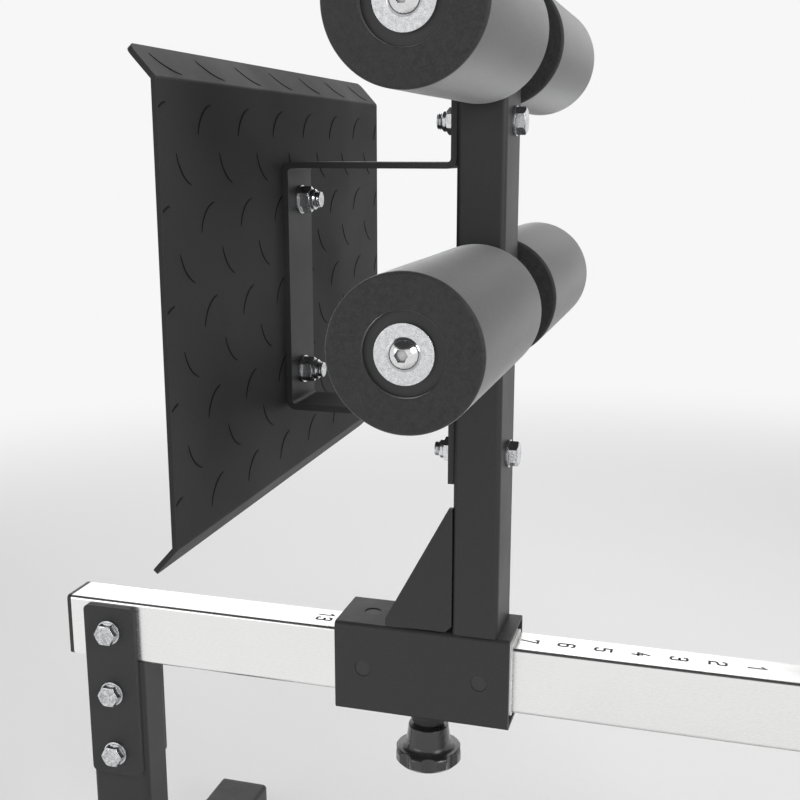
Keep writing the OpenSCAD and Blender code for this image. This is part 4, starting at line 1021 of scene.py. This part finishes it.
@dataclass(frozen=True)
class FoamRoller:
    """One foam roller: a tube of closed-cell foam with soft ends and a rounded opening."""

    node: str
    body: Body
    seed: int
    bore: float = 70.5 * MM
    end_round: float = 3.5 * MM
    lip_round: float = 1.2 * MM
    waviness: float = 0.16 * MM
    ripple_orders: tuple[int, ...] = (2, 3, 5, 7, 11)
    ripple_swing: float = 60.0
    ripple_from: float = 4.0 * MM
    ripple_full: float = 10.0 * MM
    turns: int = 176

    def outline(self, radius: float, half: float) -> Array:
        """The tube's section, a closed loop of (distance from the axis, place along it).

        From the opening's lip it goes over the flat end, round the outer corner, along the
        side, and back the same way at the other end. Each round is a quarter circle.

        Args:
            radius: the roller's outer radius.
            half: half of its length.

        Returns:
            Array of shape (count, 2).
        """
        inner, lip, corner = self.bore / 2, self.lip_round, self.end_round
        top = np.concatenate([
            arc((inner + lip, half - lip), lip, 180, 90, 8),
            np.stack([np.linspace(inner + lip, radius - corner, 12)[1:-1],
                      np.full(10, half)], axis=-1),
            arc((radius - corner, half - corner), corner, 90, 0, 14)])
        side = np.stack([np.full(60, radius),
                         np.linspace(half - corner, corner - half, 62)[1:-1]], axis=-1)
        bore = np.stack([np.full(6, inner), np.linspace(lip - half, half - lip, 8)[1:-1]],
                        axis=-1)
        return np.concatenate([top, side, top[::-1] * (1, -1), bore])

    def surface(self) -> Surface:
        """The section carried once round the axis.

        A point is (r cos t, along, r sin t) from the roller's middle. On the outer skin r has a
        slow ripple: a sum of five sines of the angle and the place along, each a few
        hundredths of a millimetre, as cut foam has.
        """
        box = Box.of(self.node)
        radius, half = box.size[0] / 2, box.size[1] / 2
        outline = self.outline(radius, half)
        turn = np.linspace(0, 2 * math.pi, self.turns, endpoint=False)[:, None]
        r, along = outline[None, :, 0], outline[None, :, 1]
        draw = np.random.default_rng(self.seed)
        swing, orders = self.ripple_swing, self.ripple_orders
        ripple = sum(np.sin(k * turn + draw.uniform(-swing, swing) * along
                            + draw.uniform(0, 6.28)) for k in orders) / len(orders)
        skin = np.clip((r - self.bore / 2 - self.ripple_from) / self.ripple_full, 0, 1)
        r = r + self.waviness * skin * ripple
        points = np.stack([r * np.cos(turn), along + 0 * turn, r * np.sin(turn)], axis=-1)
        return Surface.grid(points + box.centre, wrap_rows=True, wrap_cols=True).outward()

    def build(self) -> None:
        """Makes the roller and lets it stand for its CAD node."""
        piece = make_piece(self.node + "_skin", self.surface(), FOAM, self.body)
        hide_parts(self.node)


@dataclass(frozen=True)
class HipPad:
    """One hip pad: a half-moon of foam under vinyl, with two sewn seams round it."""

    node: str
    squareness: float = 0.82
    crown: float = 5.0 * MM
    seam_inset: float = 30.0 * MM
    seam_depth: float = 3.6 * MM
    seam_width: float = 4.2 * MM
    edge_round: float = 20.0 * MM
    edge_turn: float = 0.94
    tuck: float = 5.0 * MM
    tuck_height: float = 24.0 * MM
    side_crown: float = 4.0 * MM
    puff: float = 1.2 * MM
    puff_spread: float = 3.2
    wrinkle: float = 0.5 * MM
    wrinkle_width: float = 2.6 * MM
    wrinkle_bend: float = 3.0
    wrinkle_waves: int = 9
    wrinkle_fade: float = 1.2
    stitch_pitch: float = 6.6 * MM
    stitch_length: float = 4.4 * MM
    stitch_beside: float = 3.9 * MM
    stitch_ends: float = 0.02
    thread_radius: float = 0.42 * MM
    thread_arch: float = 0.25
    nudge: float = 0.5 * MM
    hub: float = 0.4
    over: int = 190
    under: int = 36
    across: int = 150
    side_rings: int = 26
    seam_samples: int = 1500
    stitch_rings: int = 7
    stitch_sides: int = 6

    def inset(self, y: Array, half: float) -> Array:
        """How far the cover lies inside the pad's full section at a distance y from its middle.

        It is the crown times the square of y over half, plus a narrow bell-shaped groove at
        each seam, less a low broad one round it, plus a quarter circle over the outer edge.

        Args:
            y: distances from the middle.
            half: half of the pad's width.

        Returns:
            The insets, in the shape of y.
        """
        out = np.abs(y)
        edge = np.maximum(0, out - (half - self.edge_round)) / self.edge_round
        seam = (out - (half - self.seam_inset)) / self.seam_width
        puff = self.puff * np.exp(-(seam / self.puff_spread) ** 2)
        return (self.crown * (y / half) ** 2 + (self.seam_depth + self.puff) * np.exp(-seam ** 2)
                - puff
                + self.edge_round * (1 - np.sqrt(np.maximum(0, 1 - self.edge_turn * edge ** 2))))

    def cover(self, a: Array, y: Array, size: Array) -> Array:
        """Points of the cover.

        The section is a squared half ellipse: x is rx times the signed power of cos a, z is
        rz times the power of sin a, where rx and rz are the pad's half length and height less
        the inset. Close above the board the section is drawn in by a bell-shaped tuck, with a
        small upright wrinkle every 16 mm or so.

        Args:
            a: angles from 0 at the front edge over the top to pi at the back.
            y: distances from the pad's middle, in a shape that goes with a's.
            size: the pad's length, width and height.

        Returns:
            Array of points relative to the middle of the pad's underside.
        """
        half = size[1] / 2
        inset = self.inset(y, half)
        rise = np.sin(a)
        low = np.exp(-(rise * size[2] / self.tuck_height) ** 2)
        bend = self.wrinkle_bend * np.sin(a * self.wrinkle_waves)
        wrinkle = self.wrinkle * np.sin(y / self.wrinkle_width + bend) * low
        rx = (size[0] / 2 - inset - self.tuck * low
              - wrinkle * np.cos(y / half * self.wrinkle_fade))
        rz = size[2] - inset
        cos = np.cos(a)
        x = rx * np.sign(cos) * np.abs(cos) ** self.squareness
        z = rz * np.maximum(rise, 0) ** self.squareness
        return np.stack(np.broadcast_arrays(x, y, z), axis=-1)

    def measures(self) -> tuple[Array, Array]:
        """The pad's length, width and height, and the middle of its underside."""
        box = Box.of(self.node)
        return box.size, np.array([box.centre[0], box.centre[1], box.low[2]])

    def surface(self) -> Surface:
        """The whole pad as one closed skin.

        Each column is a loop over the top and back along the flat underside. The columns run
        across the cover, and then over each side, where the last loop shrinks towards a hub
        while its distance out grows by the side's crown times one minus the square of its size.
        """
        size, base = self.measures()
        half = size[1] / 2
        a = np.linspace(0, math.pi, self.over)[:, None]
        y = half * np.sin(np.linspace(-math.pi / 2, math.pi / 2, self.across))[None, :]
        top = self.cover(a, y, size)
        share = np.linspace(0, 1, self.under + 2)[1:-1, None, None]
        under = top[-1:] * (1 - share) + top[:1] * share
        loops = np.concatenate([top, under])
        shrink = np.cos(np.linspace(0, math.pi / 2, self.side_rings + 1))[1:-1]
        sides = []
        for edge, sign in ((loops[:, :1], -1), (loops[:, -1:], 1)):
            centre = np.array([0, sign * half, size[2] * self.hub])
            rings = centre + (edge - centre) * shrink[None, :, None]
            rings[..., 1] = sign * (half + self.side_crown * (1 - shrink[None] ** 2))
            sides.append(rings)
        points = np.concatenate([sides[0][:, ::-1], loops, sides[1]], axis=1)
        skin = Surface.grid(points + base, wrap_rows=True)
        count, cols = points.shape[:2]
        ring = np.arange(count) * cols
        hubs = base + np.array([[0, s * (half + self.side_crown), size[2] * self.hub]
                                for s in (-1, 1)])
        first = fan(len(skin.points), ring)
        last = fan(len(skin.points) + 1, ring + cols - 1)[:, [0, 2, 1]]
        return Surface(np.concatenate([skin.points, hubs]), skin.quads,
                       np.concatenate([first, last])).outward()

    def stitches(self) -> Surface:
        """Two rows of topstitching beside each seam.

        The stitches are at equal distances along the section. Each is a short bar along the
        section's tangent, whose radius is the square root of a half sine over its length.
        """
        size, base = self.measures()
        half, pitch = size[1] / 2, self.stitch_pitch
        a = np.linspace(self.stitch_ends, math.pi - self.stitch_ends, self.seam_samples)
        t = np.linspace(0.08, 0.92, self.stitch_rings)[:, None]
        v = np.linspace(0, 2 * math.pi, self.stitch_sides, endpoint=False)[None, :]
        thick = self.thread_radius * np.sqrt(np.sin(math.pi * t))
        arch = self.thread_arch * self.thread_radius * np.sin(math.pi * t) + 0 * v
        lengthwise = (t - 0.5) * self.stitch_length + 0 * v
        bars = []
        for row in (-1, 1):
            for side in (-1, 1):
                y = side * (half - self.seam_inset) + row * self.stitch_beside
                line = self.cover(a, np.full_like(a, y), size)
                out = self.cover(a, np.full_like(a, y + self.nudge), size) - line
                along = distances(line)
                at = np.arange(pitch, along[-1] - pitch, pitch)
                middle = read_at(line, along, at)
                sideways = unit(read_at(out, along, at))
                tangent = unit(read_at(line, along, at + self.nudge) - middle)
                normal = unit(np.cross(tangent, sideways))
                normal = normal * np.sign(normal[:, 2:] + 1e-9)
                bars.append(middle[:, None, None]
                            + tangent[:, None, None] * lengthwise[..., None]
                            + sideways[:, None, None] * (thick * np.cos(v))[..., None]
                            + normal[:, None, None] * (thick * np.sin(v) + arch)[..., None])
        return Surface.repeated(np.concatenate(bars) + base).outward()

    def build(self) -> None:
        """Makes the pad and its stitching, and lets the pad stand for its CAD node."""
        pad = make_piece(self.node + "_cover", self.surface(), VINYL, Body.FRAME,
                         sharp=60.0)
        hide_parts(self.node)
        make_piece(self.node + "_stitches", self.stitches(), THREAD, Body.FRAME)


@dataclass(frozen=True)
class PlateTread:
    """The thin crescents raised on the foot plate, in two families that lean both ways, coloured
    near black as painted shade.
    """

    pitch: float = 85.3 * MM
    row_pitch: float = 85.0 * MM
    columns: int = 8
    rising_rows: int = 5
    falling_rows: int = 4
    shortest: float = 0.16
    chord: float = 38.0 * MM
    rising_radius: float = 32.0 * MM
    falling_radius: float = 41.0 * MM
    rising_angle: float = 42.9
    falling_angle: float = 45.6
    width: float = 2.3 * MM
    height: float = 0.55 * MM
    sink: float = 0.2 * MM
    rising_y: float = -311.9 * MM
    rising_z: float = 157.0 * MM
    falling_y: float = -269.4 * MM
    falling_z: float = 141.4 * MM
    edge_clear: float = 2.0 * MM
    flat_half: float = 200.5 * MM
    plate: float = 4.8 * MM
    tilt: float = 42.0
    flange_start: float = 25.0 * MM
    flange_y: float = -276.7 * MM
    flange_angle: float = 33.0
    samples: int = 19
    trials: int = 90

    def circle(self, lean: Lean) -> tuple[float, float]:
        """The radius of a family's arcs, and half of the angle that their chord spans."""
        radius = self.rising_radius if lean is Lean.RISING else self.falling_radius
        return radius, math.asin(self.chord / 2 / radius)

    def arc_at(self, t: Array, lean: Lean, angle: float) -> tuple[Array, Array]:
        """Points and directions of one crescent from its left end, at angles t of its circle.

        The arc stands over a level chord: x is the radius times sin t plus half the chord, y
        the radius times cos t less its value at the ends. Both are then turned by the angle.

        Args:
            t: angles, in any shape.
            lean: whether the crescent rises or falls to the right.
            angle: the chord's angle from the horizontal, in degrees.

        Returns:
            The points and the directions, each with (across, up) as a last axis.
        """
        radius, half_turn = self.circle(lean)
        x = radius * np.sin(t) + self.chord / 2
        y = radius * (np.cos(t) - math.cos(half_turn))
        dx, dy = np.cos(t), -np.sin(t)
        c, s = math.cos(math.radians(angle)), math.sin(math.radians(angle))
        return (np.stack([c * x - s * y, (s * x + c * y) * lean.value], axis=-1),
                np.stack([c * dx - s * dy, (s * dx + c * dy) * lean.value], axis=-1))

    def crescents(self, starts: Array, lean: Lean, angle: float,
                  limit: float) -> tuple[Array, Array]:
        """Middle lines of the crescents in their face's own plane, cut at the plate's edges.

        A crescent runs steadily to the right, so the angles at which it meets the two edges
        are read back from its distance across, and only the angles between them are used.

        Args:
            starts: array of shape (count, 2), each whole crescent's left end (across, up).
            lean: whether they rise or fall to the right.
            angle: the chord's angle from the horizontal, in degrees.
            limit: how far from the plate's middle a line may reach.

        Returns:
            The lines' points and their directions, both of shape (count, samples, 2).
        """
        half_turn = self.circle(lean)[1]
        every = np.linspace(-half_turn, half_turn, self.trials)
        across = self.arc_at(every, lean, angle)[0][:, 0]
        first = np.interp(-limit - starts[:, 0], across, every)
        last = np.interp(limit - starts[:, 0], across, every)
        keep = last - first > self.shortest * half_turn
        share = np.linspace(0, 1, self.samples)[None, :]
        t = first[keep, None] * (1 - share) + last[keep, None] * share
        line, heading = self.arc_at(t, lean, angle)
        return starts[keep, None] + line, heading

    def bars(self, line: Array, heading: Array, origin: Array, up: Array,
             out: Array) -> Surface:
        """Low bars along the lines.

        Across a line at t from 0 to 1 the bar is a half ellipse: its half width and height
        are the full ones times the fourth root of 4t(1 - t), so that it ends in points.

        Args:
            line: the lines' points (across, up), shape (count, samples, 2).
            heading: their directions.
            origin: the face's own zero, in the frame.
            up: the face's upward direction.
            out: the face's outward direction.

        Returns:
            The bars in one surface.
        """
        t = np.linspace(0.01, 0.99, self.samples)
        swell = (4 * t * (1 - t)) ** 0.25
        side = np.stack([-heading[..., 1], heading[..., 0]], axis=-1)
        v = np.linspace(0, math.pi, 7)
        across = np.concatenate([np.cos(v), [-0.8, 0.8]]) * self.width / 2
        rise = np.concatenate([np.sin(v) * self.height, [-self.sink, -self.sink]])
        flat = line[:, :, None] + side[:, :, None] * (across * swell[:, None])[None, ..., None]
        lift = np.broadcast_to(rise * swell[:, None], flat.shape[:3])
        points = (origin + flat[..., :1] * np.array([0.0, 1.0, 0.0]) + flat[..., 1:] * up
                  + lift[..., None] * out)
        return Surface.repeated(points)

    def build(self) -> None:
        """Makes the tread on the plate's face and on its upper bent edge.

        The face lies against the bracket's web. A bent edge's own face starts where a circle
        of the plate's thickness, round the fold on the plate's back, has turned by the tilt.
        """
        plate = Box.of("foot_plate")
        origin = np.array([Box.of("foot_bracket").low[0], 0.0, plate.centre[2]])
        limit = plate.size[1] / 2 - self.edge_clear
        cols = np.arange(self.columns) * self.pitch
        up, out = np.array([0.0, 0.0, 1.0]), np.array([1.0, 0.0, 0.0])
        parts = []
        families = (
            (Lean.RISING, self.rising_y, self.rising_z, self.rising_rows, self.rising_angle),
            (Lean.FALLING, self.falling_y, self.falling_z, self.falling_rows,
             self.falling_angle))
        for lean, y, z, rows, angle in families:
            grid_y, grid_z = np.meshgrid(y + cols, z - np.arange(rows) * self.row_pitch)
            starts = np.stack([grid_y.ravel(), grid_z.ravel()], axis=-1)
            line, heading = self.crescents(starts, lean, angle, limit)
            parts.append(self.bars(line, heading, origin, up, out).outward())
        tilt = math.radians(self.tilt)
        across = self.flange_y + cols[:-1]
        starts = np.stack([across, np.full_like(across, self.flange_start)], axis=-1)
        line, heading = self.crescents(starts, Lean.FALLING, self.flange_angle, limit)
        edge_up = np.array([-math.sin(tilt), 0.0, math.cos(tilt)])
        edge_out = np.array([math.cos(tilt), 0.0, math.sin(tilt)])
        fold = origin + np.array([self.plate * (math.cos(tilt) - 1), 0.0,
                                  self.flat_half + self.plate * math.sin(tilt)])
        parts.append(self.bars(line, heading, fold, edge_up, edge_out).outward())
        # the crescents take the near-black painted shade
        make_piece("foot_plate_tread", Surface.joined(parts), TREAD_SHADE, Body.CARRIAGE)


@dataclass(frozen=True)
class BeamNumbers:
    """The numbers 1 to 13 etched along the slide beam's top, read from the foot end."""

    pitch: float = 40.0 * MM
    seven_x: float = -273.5 * MM
    middle_y: float = 1.5 * MM
    width: float = 6.6 * MM
    tall: float = 17.2 * MM
    stroke: float = 2.8 * MM
    gap: float = 4.8 * MM
    depth: float = 0.05 * MM
    # Each figure's strokes in a cell one wide and one tall: corners (across, up)
    figures: tuple[tuple[tuple[tuple[float, float], ...], ...], ...] = (
        (((0.2, 0), (0.8, 0), (1, 0.1), (1, 0.9), (0.8, 1), (0.2, 1), (0, 0.9), (0, 0.1),
          (0.2, 0)),),
        (((0.15, 0.8), (0.62, 1), (0.62, 0)),),
        (((0, 0.84), (0.02, 0.93), (0.2, 1), (0.8, 1), (1, 0.92), (1, 0.62), (0.86, 0.54),
          (0.16, 0.44), (0, 0.36), (0, 0), (1, 0)),),
        (((0, 0.86), (0.03, 0.94), (0.2, 1), (0.8, 1), (1, 0.92), (1, 0.62), (0.82, 0.53),
          (0.3, 0.53)), ((0.3, 0.53), (0.82, 0.53), (1, 0.44), (1, 0.08), (0.8, 0), (0.2, 0),
                         (0.03, 0.06), (0, 0.14))),
        (((0.62, 1), (0, 0.34), (1, 0.34)), ((0.72, 0.56), (0.72, 0))),
        (((1, 1), (0, 1), (0, 0.57), (0.8, 0.57), (1, 0.48), (1, 0.09), (0.8, 0), (0.2, 0),
          (0.02, 0.06), (0, 0.14)),),
        (((1, 0.88), (0.96, 0.95), (0.8, 1), (0.2, 1), (0, 0.9), (0, 0.1), (0.2, 0), (0.8, 0),
          (1, 0.1), (1, 0.48), (0.8, 0.57), (0, 0.57)),),
        (((0, 0.88), (0, 1), (1, 1), (0.4, 0)),),
        (((0.2, 0.54), (0, 0.45), (0, 0.1), (0.2, 0), (0.8, 0), (1, 0.1), (1, 0.45),
          (0.8, 0.54), (0.2, 0.54), (0, 0.63), (0, 0.9), (0.2, 1), (0.8, 1), (1, 0.9),
          (1, 0.63), (0.8, 0.54)),),
        (((0, 0.12), (0.04, 0.05), (0.2, 0), (0.8, 0), (1, 0.1), (1, 0.9), (0.8, 1), (0.2, 1),
          (0, 0.9), (0, 0.52), (0.2, 0.43), (1, 0.43)),),
    )

    def ribbon(self, corners: Array, top: float) -> Surface:
        """A flat strip along a line of corners.

        At each corner the strip's edges are the corner plus and minus half the stroke along
        the mean of the two sides' normals, made longer by one over the cosine of half the turn.

        Args:
            corners: array of shape (count, 2) in the frame's x and y.
            top: height of the face that the strip lies on.

        Returns:
            The strip with its thickness, closed.
        """
        ahead = unit(np.diff(corners, axis=0))
        before = np.concatenate([ahead[:1], ahead])
        after = np.concatenate([ahead, ahead[-1:]])
        mean = unit(before + after)
        mitre = 1 / np.maximum(0.5, (mean * before).sum(axis=1))
        side = np.stack([-mean[:, 1], mean[:, 0]], axis=-1) * (self.stroke / 2 * mitre)[:, None]
        ends = np.zeros_like(corners)
        ends[0], ends[-1] = -ahead[0], ahead[-1]
        line = corners + ends * self.stroke / 2
        heights = (-0.02 * MM, self.depth)
        section = [np.concatenate([line + side * s, np.full((len(line), 1), top + z)], axis=1)
                   for s, z in ((1, heights[0]), (1, heights[1]), (-1, heights[1]),
                                (-1, heights[0]))]
        return Surface.repeated(np.stack(section, axis=1)[None]).outward()

    def build(self) -> None:
        """Makes all the numbers as one piece on the beam."""
        top = Box.of("slide_beam").high[2]
        parts = []
        for number in range(1, 14):
            text = str(number)
            span = len(text) * self.width + (len(text) - 1) * self.gap
            for place, figure in enumerate(text):
                left = -span / 2 + place * (self.width + self.gap)
                for stroke in self.figures[int(figure)]:
                    cell = np.array(stroke, float)
                    across = left + cell[:, 0] * self.width
                    upward = (cell[:, 1] - 0.5) * self.tall
                    x = self.seven_x + (7 - number) * self.pitch + upward
                    corners = np.stack([x, self.middle_y - across], axis=-1)
                    parts.append(self.ribbon(corners, top))
        make_piece("beam_numbers", Surface.joined(parts), ETCHING, Body.FRAME)


@dataclass(frozen=True)
class BoltEnds:
    """The threaded ends that stand out of their nuts, in one piece for each set of nuts."""

    radius: float = 8.0 * MM
    length: float = 5.0 * MM
    pitch: float = 2.0 * MM
    ridge: float = 0.42 * MM
    ridge_half: float = 0.45
    sunk: float = 0.3 * MM
    turns_less: float = 0.4
    first_turn: float = 0.25
    thinnest: float = 0.05
    turn_steps: int = 28
    helper: tuple[float, float, float] = (0.31, 0.52, 0.79)
    gap: float = 6.0 * MM

    def thread(self, start: Array, axis: Array) -> Surface:
        """A thread ridge round one bolt's end.

        A point at angle t is the radius out at t, and the pitch times t over a full turn
        along the axis. The ridge's section is a triangle, which shrinks to nothing over the
        first and last half turn.

        Args:
            start: the middle of the nut's outer face.
            axis: the unit direction in which the bolt stands out.

        Returns:
            The ridge, closed.
        """
        side, other = square_to(axis, self.helper)
        turns = self.length / self.pitch - self.turns_less
        t = np.linspace(0, 2 * math.pi * turns, int(self.turn_steps * turns) + 2)
        fade = np.clip(np.minimum(t, t[-1] - t) / math.pi, self.thinnest, 1)
        foot = np.full_like(t, -self.sunk)
        out = np.stack([foot, self.ridge * fade, foot], axis=1) + self.radius
        spread = np.array([-self.ridge_half, 0.0, self.ridge_half]) * self.pitch
        along = (self.pitch * (t / (2 * math.pi) + self.first_turn)[:, None]
                 + spread * fade[:, None])
        ring = np.cos(t)[:, None] * side + np.sin(t)[:, None] * other
        points = start + out[..., None] * ring[:, None] + along[..., None] * axis
        return Surface.repeated(points[None]).outward()

    def apart(self, points: Array, axis: int) -> list[Array]:
        """Points split into groups wherever a gap shows along one axis."""
        ordered = points[np.argsort(points[:, axis])]
        return np.split(ordered, np.flatnonzero(np.diff(ordered[:, axis]) > self.gap) + 1)

    def centres(self, node: str, axis: int) -> list[Array]:
        """The middles of a node's separate nuts.

        The node's points are split at the gaps along each of the two axes across the nuts'.

        Args:
            node: a node made of several equal nuts.
            axis: 0 or 1, the nuts' own axis.

        Returns:
            One middle for each nut.
        """
        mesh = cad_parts[node].data
        points = np.zeros(len(mesh.vertices) * 3, np.float32)
        mesh.vertices.foreach_get("co", points)
        across = 1 - axis
        nuts = [nut for column in self.apart(points.reshape(-1, 3).astype(float), across)
                for nut in self.apart(column, 2)]
        return [(nut.min(axis=0) + nut.max(axis=0)) / 2 for nut in nuts]

    def build(self) -> None:
        """Makes the thread pieces for the rear and front joints, the bracket and the plate."""
        sets = (("rear_joint_threads", "rear_joint_nuts", Body.FRAME, 1, 1),
                ("front_joint_threads", "front_joint_nuts", Body.FRAME, 1, 1),
                ("bracket_threads", "bracket_nuts", Body.CARRIAGE, 0, -1),
                ("foot_plate_threads", "foot_plate_nuts", Body.CARRIAGE, 0, 1))
        for name, nuts, body, axis, sign in sets:
            box = Box.of(nuts)
            direction = np.zeros(3)
            direction[axis] = sign
            ends = []
            for start in self.centres(nuts, axis):
                start[axis] = box.high[axis] if sign > 0 else box.low[axis]
                ends.append(self.thread(start, direction))
            make_piece(name, Surface.joined(ends), ZINC, body)


@dataclass(frozen=True)
class Weld:
    """A coated weld bead along a path."""

    path: Array
    closed: bool = True
    radius: float = 2.6 * MM
    ripple: float = 0.42 * MM
    ripple_pitch: float = 3.1 * MM
    taper: float = 3.0 * MM
    thinnest: float = 0.05
    sides: int = 12
    helper: tuple[float, float, float] = (0.21, 0.37, 0.91)

    def surface(self) -> Surface:
        """A round bead with even ripples.

        Round each point of the path lies a circle across its direction, whose radius is the
        bead's plus the ripple's depth times the absolute sine of the distance along.
        """
        ahead = np.roll(self.path, -1, axis=0) - np.roll(self.path, 1, axis=0)
        if not self.closed:
            ahead[0], ahead[-1] = self.path[1] - self.path[0], self.path[-1] - self.path[-2]
        side, other = square_to(unit(ahead), self.helper)
        along = distances(self.path)
        bead = self.radius + self.ripple * np.abs(np.sin(math.pi * along / self.ripple_pitch))
        if not self.closed:
            ends = np.minimum(along, along[-1] - along) / self.taper
            bead = bead * np.sqrt(np.clip(ends, self.thinnest, 1))
        v = np.linspace(0, 2 * math.pi, self.sides, endpoint=False)
        points = self.path[:, None] + bead[:, None, None] * (
            np.cos(v)[None, :, None] * side[:, None] + np.sin(v)[None, :, None] * other[:, None])
        if self.closed:
            return Surface.grid(points, wrap_rows=True, wrap_cols=True).outward()
        return Surface.repeated(points[None]).outward()


@dataclass(frozen=True)
class FrameWelds:
    """Weld beads where the frame's tubes meet."""

    step: float = 0.8 * MM
    corner: float = 6.0 * MM
    tube: float = 50.8 * MM
    brace_rise: float = 311.6 * MM
    brace_run: float = 330.0 * MM
    brace_top: float = 345.0 * MM
    plate_reach: float = 150.0 * MM
    plate_inset: float = 1.5 * MM
    plate_drop: float = 2.0 * MM
    plate_clear: float = 6.0 * MM
    handle_y: float = 212.0 * MM

    def ring(self, centre: Sequence[float], sides: tuple[float, float], normal: int) -> Surface:
        """A bead round a rectangular joint.

        Args:
            centre: the joint's middle.
            sides: the tube's two sides, in the order of the axes other than the normal's.
            normal: 0, 1 or 2, the axis across the joint's plane.

        Returns:
            The bead.
        """
        loop = rounded_rectangle(*sides, self.corner, self.step)
        path = np.zeros((len(loop), 3)) + np.array(centre, float)
        path[:, [k for k in range(3) if k != normal]] += loop
        return Weld(path).surface()

    def around(self, tube: Box, end: Array, normal: int) -> Surface:
        """A bead round a standing or lying tube's whole section, at the height or x of an end."""
        centre = np.array([tube.centre[0], 0.0, tube.centre[2]])
        centre[normal] = end[normal]
        return self.ring(centre, tuple(np.delete(tube.size, normal)), normal)

    def line(self, start: Sequence[float], end: Sequence[float]) -> Surface:
        """A straight bead between two points."""
        length = float(np.linalg.norm(np.array(end) - np.array(start)))
        share = np.linspace(0, 1, int(length / self.step))[:, None]
        return Weld(np.array(start) * (1 - share) + np.array(end) * share, False).surface()

    def build(self) -> None:
        """Makes the beads of the base, the upright, the pad frame and the handles."""
        leg, rail = Box.of("rear_leg"), Box.of("base_rail")
        upright, crossbar = Box.of("front_upright"), Box.of("pad_crossbar")
        base = [self.around(rail, rail.low, 0), self.around(rail, rail.high, 0),
                self.around(leg, leg.low, 2), self.around(upright, upright.low, 2)]
        make_piece("base_welds", Surface.joined(base), WELD_COAT, Body.FRAME)
        slope = math.atan2(self.brace_rise, self.brace_run)
        face, lower = upright.high[0], rail.high[2]
        upper_z = self.brace_top - (face - upright.centre[0]) * math.tan(slope)
        lower_x = upright.centre[0] + (self.brace_top - lower) / math.tan(slope)
        brace = [self.ring((face, 0, upper_z), (self.tube, self.tube / math.cos(slope)), 0),
                 self.ring((lower_x, 0, lower), (self.tube / math.sin(slope), self.tube), 2)]
        make_piece("brace_welds", Surface.joined(brace), WELD_COAT, Body.FRAME)
        plates = Box.of("pad_plates")
        handles = Box.of("handle_bars")
        top = [self.around(upright, crossbar.low, 2)]
        outer = crossbar.high[1] - self.plate_clear
        inner = crossbar.high[1] - self.plate_reach + self.plate_clear
        z = plates.low[2] - self.plate_drop
        for side_y in (-1, 1):
            for side_x in (-1, 1):
                x = crossbar.centre[0] + side_x * (crossbar.size[0] / 2 - self.plate_inset)
                top.append(self.line((x, side_y * inner, z), (x, side_y * outer, z)))
        radius = (handles.high[2] - handles.low[2]) / 2
        loop = arc((0, 0), radius, 0, 360, 160)[:-1]
        for side_y in (-1, 1):
            path = np.stack([np.full(len(loop), handles.low[0]),
                             loop[:, 0] + side_y * self.handle_y,
                             loop[:, 1] + handles.centre[2]], axis=-1)
            top.append(Weld(path).surface())
        make_piece("pad_frame_welds", Surface.joined(top), WELD_COAT, Body.FRAME)


def main() -> None:
    """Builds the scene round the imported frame."""
    logging.basicConfig(level=logging.INFO, format="%(name)s: %(message)s")
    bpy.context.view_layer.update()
    PhotoCamera().build()
    Studio().build()
    NodeFinishes().build()
    rollers = (Body.UPPER_LEFT, Body.UPPER_RIGHT, Body.LOWER_LEFT, Body.LOWER_RIGHT)
    for seed, body in enumerate(rollers):
        FoamRoller(body.value.replace("_roller", "_foam"), body, seed).build()
    for side in ("left", "right"):
        HipPad(f"{side}_hip_pad").build()
    PlateTread().build()
    BeamNumbers().build()
    BoltEnds().build()
    FrameWelds().build()


if __name__ == "__main__":
    main()
